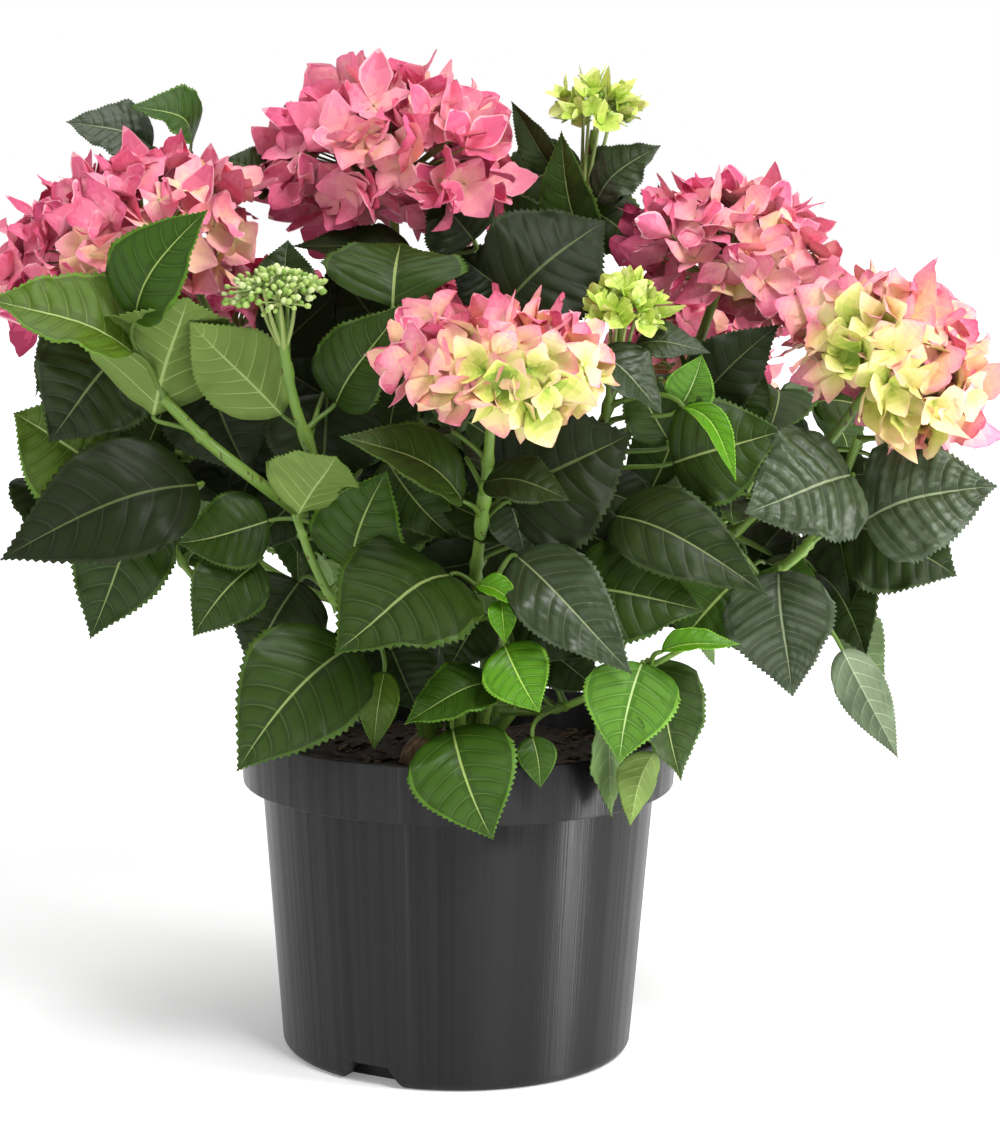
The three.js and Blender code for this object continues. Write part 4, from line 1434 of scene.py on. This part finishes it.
# %% [markdown]
# ## Pot plastic
# Recycled black polypropylene comes out of the mould dark grey, with a soft gloss. The mould is
# polished along the pot's height and the melt flows up from the foot, so fine upright lines break
# the reflections into streaks. The streaks are noise on the way round the pot, stretched along Z.


# %% Pot material and piece
def pot_finish():
    """Dark grey polypropylene with upright flow lines in its colour, gloss and relief."""
    material = finish_of("moulded_polypropylene", "#121213", 0.4, IOR=1.49, Specular_IOR_Level=0.36,
                         Anisotropic=0.95, Anisotropic_Rotation=0.25)
    tree = material.node_tree
    shader = tree.nodes["Principled BSDF"]
    place = add(tree, "TexCoord").outputs["Object"]
    level = add(tree, "VectorMath", {0: place, 1: (1, 1, 0)}, operation="MULTIPLY")
    around = add(tree, "VectorMath", {0: level.outputs["Vector"]}, operation="NORMALIZE")
    height = add(tree, "VectorMath", {0: place, 1: (0, 0, 0.08)}, operation="MULTIPLY")
    both = {0: around.outputs["Vector"], 1: height.outputs["Vector"]}
    upright = add(tree, "VectorMath", both, operation="ADD").outputs["Vector"]
    fine = add(tree, "TexNoise", {"Vector": upright, "Scale": 95, "Detail": 3})
    broad = add(tree, "TexNoise", {"Vector": upright, "Scale": 30, "Detail": 2})
    shade = add(tree, "Mix", {"Factor": fine.outputs["Fac"]}, data_type="RGBA")
    shade.inputs["A"].default_value = linear("#0e0e0f")
    shade.inputs["B"].default_value = linear("#151517")
    tree.links.new(shade.outputs["Result"], shader.inputs["Base Color"])
    gloss = add(tree, "MapRange", {"Value": broad.outputs["Fac"], "From Min": 0.36, "From Max": 0.64,
                                   "To Min": 0.32, "To Max": 0.44})
    tree.links.new(gloss.outputs["Result"], shader.inputs["Roughness"])
    ridges = add(tree, "Bump", {"Height": fine.outputs["Fac"], "Strength": 0.3, "Distance": 0.4 * MM})
    tree.links.new(ridges.outputs["Normal"], shader.inputs["Normal"])
    return material


def make_pot():
    """Spins the pot, cuts the arches, and keeps its edges crisp where they turn by over 40 degrees."""
    piece = ride_as("pot_shell", spun("pot_shell", pot_outline(), POT_STEPS), "pot", "pot")
    cutter = bpy.data.objects.new("arch_cutter", arch_cutter())
    bpy.context.scene.collection.objects.link(cutter)
    cut = piece.modifiers.new("arches", "BOOLEAN")
    cut.object = cutter
    cut.operation = "DIFFERENCE"
    cut.solver = "EXACT"
    solid = piece.evaluated_get(bpy.context.evaluated_depsgraph_get())
    piece.data = bpy.data.meshes.new_from_object(solid)
    piece.modifiers.clear()
    bpy.data.objects.remove(cutter)
    piece.data.materials.clear()
    piece.data.materials.append(pot_finish())
    piece.data.shade_smooth()
    piece.data.set_sharp_from_angle(angle=math.radians(40))
    print("pot faces:", len(piece.data.polygons))


make_pot()

# %% [markdown]
# ## Compost
# The pot is filled to two fingers below the rim with peat and composted bark. A turned disc with
# noise on it gives the lumps, and loose flakes of bark lie on top. The compost and the old bark of
# the canes' foot share one recipe: a noise that is both the grain in the colour and the relief.

# %% Compost
COMPOST_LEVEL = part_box("root_ball")[1].z
COMPOST_GAP = 1.5 * MM
COMPOST_SKIN = 6 * MM
LUMP_HEIGHT = 3 * MM
FLAKES = 420
PALE_FLAKES = 0.2


def crumbly_finish(name, colour, roughness, stretch, grain, tones, relief):
    """A rough skin in two tones. One noise is both the grain in the colour and the relief."""
    material = finish_of(name, colour, roughness)
    tree = material.node_tree
    shader = tree.nodes["Principled BSDF"]
    place = add(tree, "TexCoord").outputs["Object"]
    stretched = add(tree, "Mapping", {"Vector": place, "Scale": stretch})
    crumbs = add(tree, "TexNoise", {"Vector": stretched.outputs["Vector"], **grain})
    shade = add(tree, "ValToRGB", {"Fac": crumbs.outputs["Fac"]})
    for stop, (position, tone) in zip(shade.color_ramp.elements, tones):
        stop.position = position
        stop.color = linear(tone)
    tree.links.new(shade.outputs["Color"], shader.inputs["Base Color"])
    lumps = add(tree, "Bump", {"Height": crumbs.outputs["Fac"], **relief})
    tree.links.new(lumps.outputs["Normal"], shader.inputs["Normal"])
    return material


def compost_finish():
    """Damp peat: nearly black crumbs of about 4 mm, browner where they are dry, with no shine."""
    return crumbly_finish(
        "peat_and_bark_compost", "#241a12", 0.9, (1, 1, 1), {"Scale": 240, "Detail": 6, "Roughness": 0.7},
        ((0.35, "#120c08"), (0.75, "#3c2c1f")), {"Strength": 0.8, "Distance": 1.5 * MM})


def make_compost():
    """A turned disc, lumpy on top, that stops just inside the pot's wall."""
    edge = RIM_RADIUS - COLLAR_DRAFT - WALL - COMPOST_GAP
    radii = np.linspace(edge, 0, 36)
    outline = [(0, COMPOST_LEVEL - COMPOST_SKIN), (edge, COMPOST_LEVEL - COMPOST_SKIN)]
    outline += [(radius, COMPOST_LEVEL) for radius in radii]
    mesh = spun("compost", outline, 120)
    for corner in mesh.vertices:
        if corner.co.z > COMPOST_LEVEL - 1 * MM:
            corner.co.z += noise.fractal(corner.co * 60, 0.8, 2.2, 4) * LUMP_HEIGHT
    mesh.materials.append(compost_finish())
    ride_as("compost", mesh, "compost", "root_ball")


def scatter_bark():
    """Flakes of composted bark, each a ball pressed flat and pulled long."""
    barks = [finish_of("bark_flake", "#3a281a", 0.85), finish_of("bark_flake_pale", "#5a4530", 0.85)]
    flakes = Heap("bark_flakes", barks)
    for number in range(FLAKES):
        radius = math.sqrt(chance.uniform(0.03, 1)) * (RIM_RADIUS - 12 * MM)
        turn = number * GOLDEN_TURN
        size = chance.uniform(1.5, 5) * MM
        corners = bead_corners * np.array([size, size * chance.uniform(0.4, 0.7), size * 0.22])
        tilt = unit(np.array([chance.normal(0, 0.3), chance.normal(0, 0.3), 1]))
        height = COMPOST_LEVEL + chance.uniform(0, 2) * MM
        place = np.array([radius * math.cos(turn), radius * math.sin(turn), height])
        kind = int(chance.uniform() < PALE_FLAKES)
        flakes.put(place + corners @ across_frame(tilt, chance.uniform(0, 6)), bead_faces,
                   np.full(len(bead_faces), kind), np.ones(len(bead_faces), bool))
    flakes.join("compost")


make_compost()
scatter_bark()

# %% [markdown]
# ## The woody foot
# Every cane springs from the stool that is left when the plant is cut back each year. It is turned
# like the pot, then its sides are swollen by noise that is stretched upright, and its bark peels
# in strips.

# %% Woody foot
def wood_finish():
    """Old bark that peels in upright strips about 3 mm wide, pale where a strip has come off."""
    return crumbly_finish(
        "old_hydrangea_bark", "#6a5238", 0.85, (1, 1, 0.2), {"Scale": 350, "Detail": 5},
        ((0.35, "#3a2a1c"), (0.7, "#8b6f4d")), {"Strength": 0.9, "Distance": 1 * MM})


def make_foot():
    """A stool that narrows upwards, with the swellings of old canes on its sides."""
    low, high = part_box("woody_foot")
    wide = high.x
    height = high.z - low.z
    side = [(wide * (1 - 0.22 * t**2), low.z + height * t) for t in np.linspace(0, 1, 10)]
    outline = [(0, low.z)] + side + [(wide * 0.5, high.z - 1 * MM), (0, high.z)]
    mesh = spun("woody_foot_bark", outline, 72)
    for corner in mesh.vertices:
        swell = 1 + 0.12 * noise.noise(Vector((corner.co.x, corner.co.y, corner.co.z * 0.3)) * 90)
        corner.co.x *= swell
        corner.co.y *= swell
    mesh.materials.append(wood_finish())
    ride_as("woody_foot_bark", mesh, "bark", "woody_foot")


make_foot()

# %% [markdown]
# ## The studio
# A plain white floor under an even white sky. The paper is lit near the plant and glows of its own
# farther off, so that there is no horizon from any side. One soft light stands above on the right,
# a fill on the left, and narrow strips draw the upright reflections on the pot.

# %% Studio
FLOOR_RADIUS = 14
FLOOR_SIDES = 96
GLOW_FROM, GLOW_TO = 0.5, 2.5  # metres from the plant between which the glow grows


def make_floor():
    """A wide disc of white paper whose own glow grows with the distance from the plant."""
    bm = bmesh.new()
    bmesh.ops.create_circle(bm, cap_ends=True, segments=FLOOR_SIDES, radius=FLOOR_RADIUS)
    mesh = mesh_of("paper_floor", bm)
    paper = finish_of("white_paper", "#fafafa", 0.95, Specular_IOR_Level=0.1, Emission_Color=(1, 1, 1, 1))
    tree = paper.node_tree
    place = add(tree, "TexCoord").outputs["Object"]
    distance = add(tree, "VectorMath", {0: place}, operation="LENGTH").outputs["Value"]
    glow = add(tree, "MapRange", {"Value": distance, "From Min": GLOW_FROM, "From Max": GLOW_TO,
                                  "To Min": 0.2, "To Max": 1.0})
    tree.links.new(glow.outputs["Result"], tree.nodes["Principled BSDF"].inputs["Emission Strength"])
    mesh.materials.append(paper)
    floor = bpy.data.objects.new("paper_floor", mesh)
    bpy.context.scene.collection.objects.link(floor)


def soft_light(name, place, target, width, height, power):
    """A rectangular lamp that looks at its target. Sizes are in metres and the power is in watts."""
    lamp = bpy.data.lights.new(name, "AREA")
    lamp.shape = "RECTANGLE"
    lamp.size, lamp.size_y = width, height
    lamp.energy = power
    light = bpy.data.objects.new(name, lamp)
    light.location = place
    light.rotation_euler = (Vector(target) - Vector(place)).to_track_quat("-Z", "Y").to_euler()
    bpy.context.scene.collection.objects.link(light)


def light_room(strength, front):
    """White behind the plant for the camera. Round it, the room is dimmer, most of all in front."""
    world = bpy.data.worlds.new("studio")
    world.use_nodes = True
    tree = world.node_tree
    around = add(tree, "TexCoord").outputs["Generated"]
    toward = add(tree, "SeparateXYZ", {"Vector": around})
    room = add(tree, "MapRange", {"Value": toward.outputs["Y"], "From Min": -0.8, "From Max": 0.4,
                                  "To Min": front, "To Max": strength})
    seen = add(tree, "LightPath").outputs["Is Camera Ray"]
    bright = add(tree, "Mix", {"Factor": seen, "A": room.outputs["Result"], "B": 1.0})
    tree.links.new(bright.outputs["Result"], tree.nodes["Background"].inputs["Strength"])
    tree.nodes["Background"].inputs["Color"].default_value = (1, 1, 1, 1)
    bpy.context.scene.world = world


make_floor()
light_room(0.5, 0.25)
soft_light("key", (0.8, -1.3, 1.9), (0, 0, 0.35), 0.7, 0.7, 34)
soft_light("fill", (-1.6, -1.2, 0.9), (0, 0, 0.3), 1.0, 1.4, 6)
soft_light("top", (0, 0.2, 2.2), (0, 0, 0.3), 1.4, 1.4, 20)
soft_light("side", (0.85, -0.4, 0.45), (0, 0, 0.15), 0.16, 0.9, 5)
soft_light("narrow_strip", (0.38, -0.18, 0.1), (0, 0, 0.1), 0.04, 0.2, 0.5)
soft_light("thin_strip", (-0.33, -0.68, 0.1), (0, 0, 0.1), 0.03, 0.2, 0.24)
bpy.context.scene.view_settings.view_transform = "Standard"
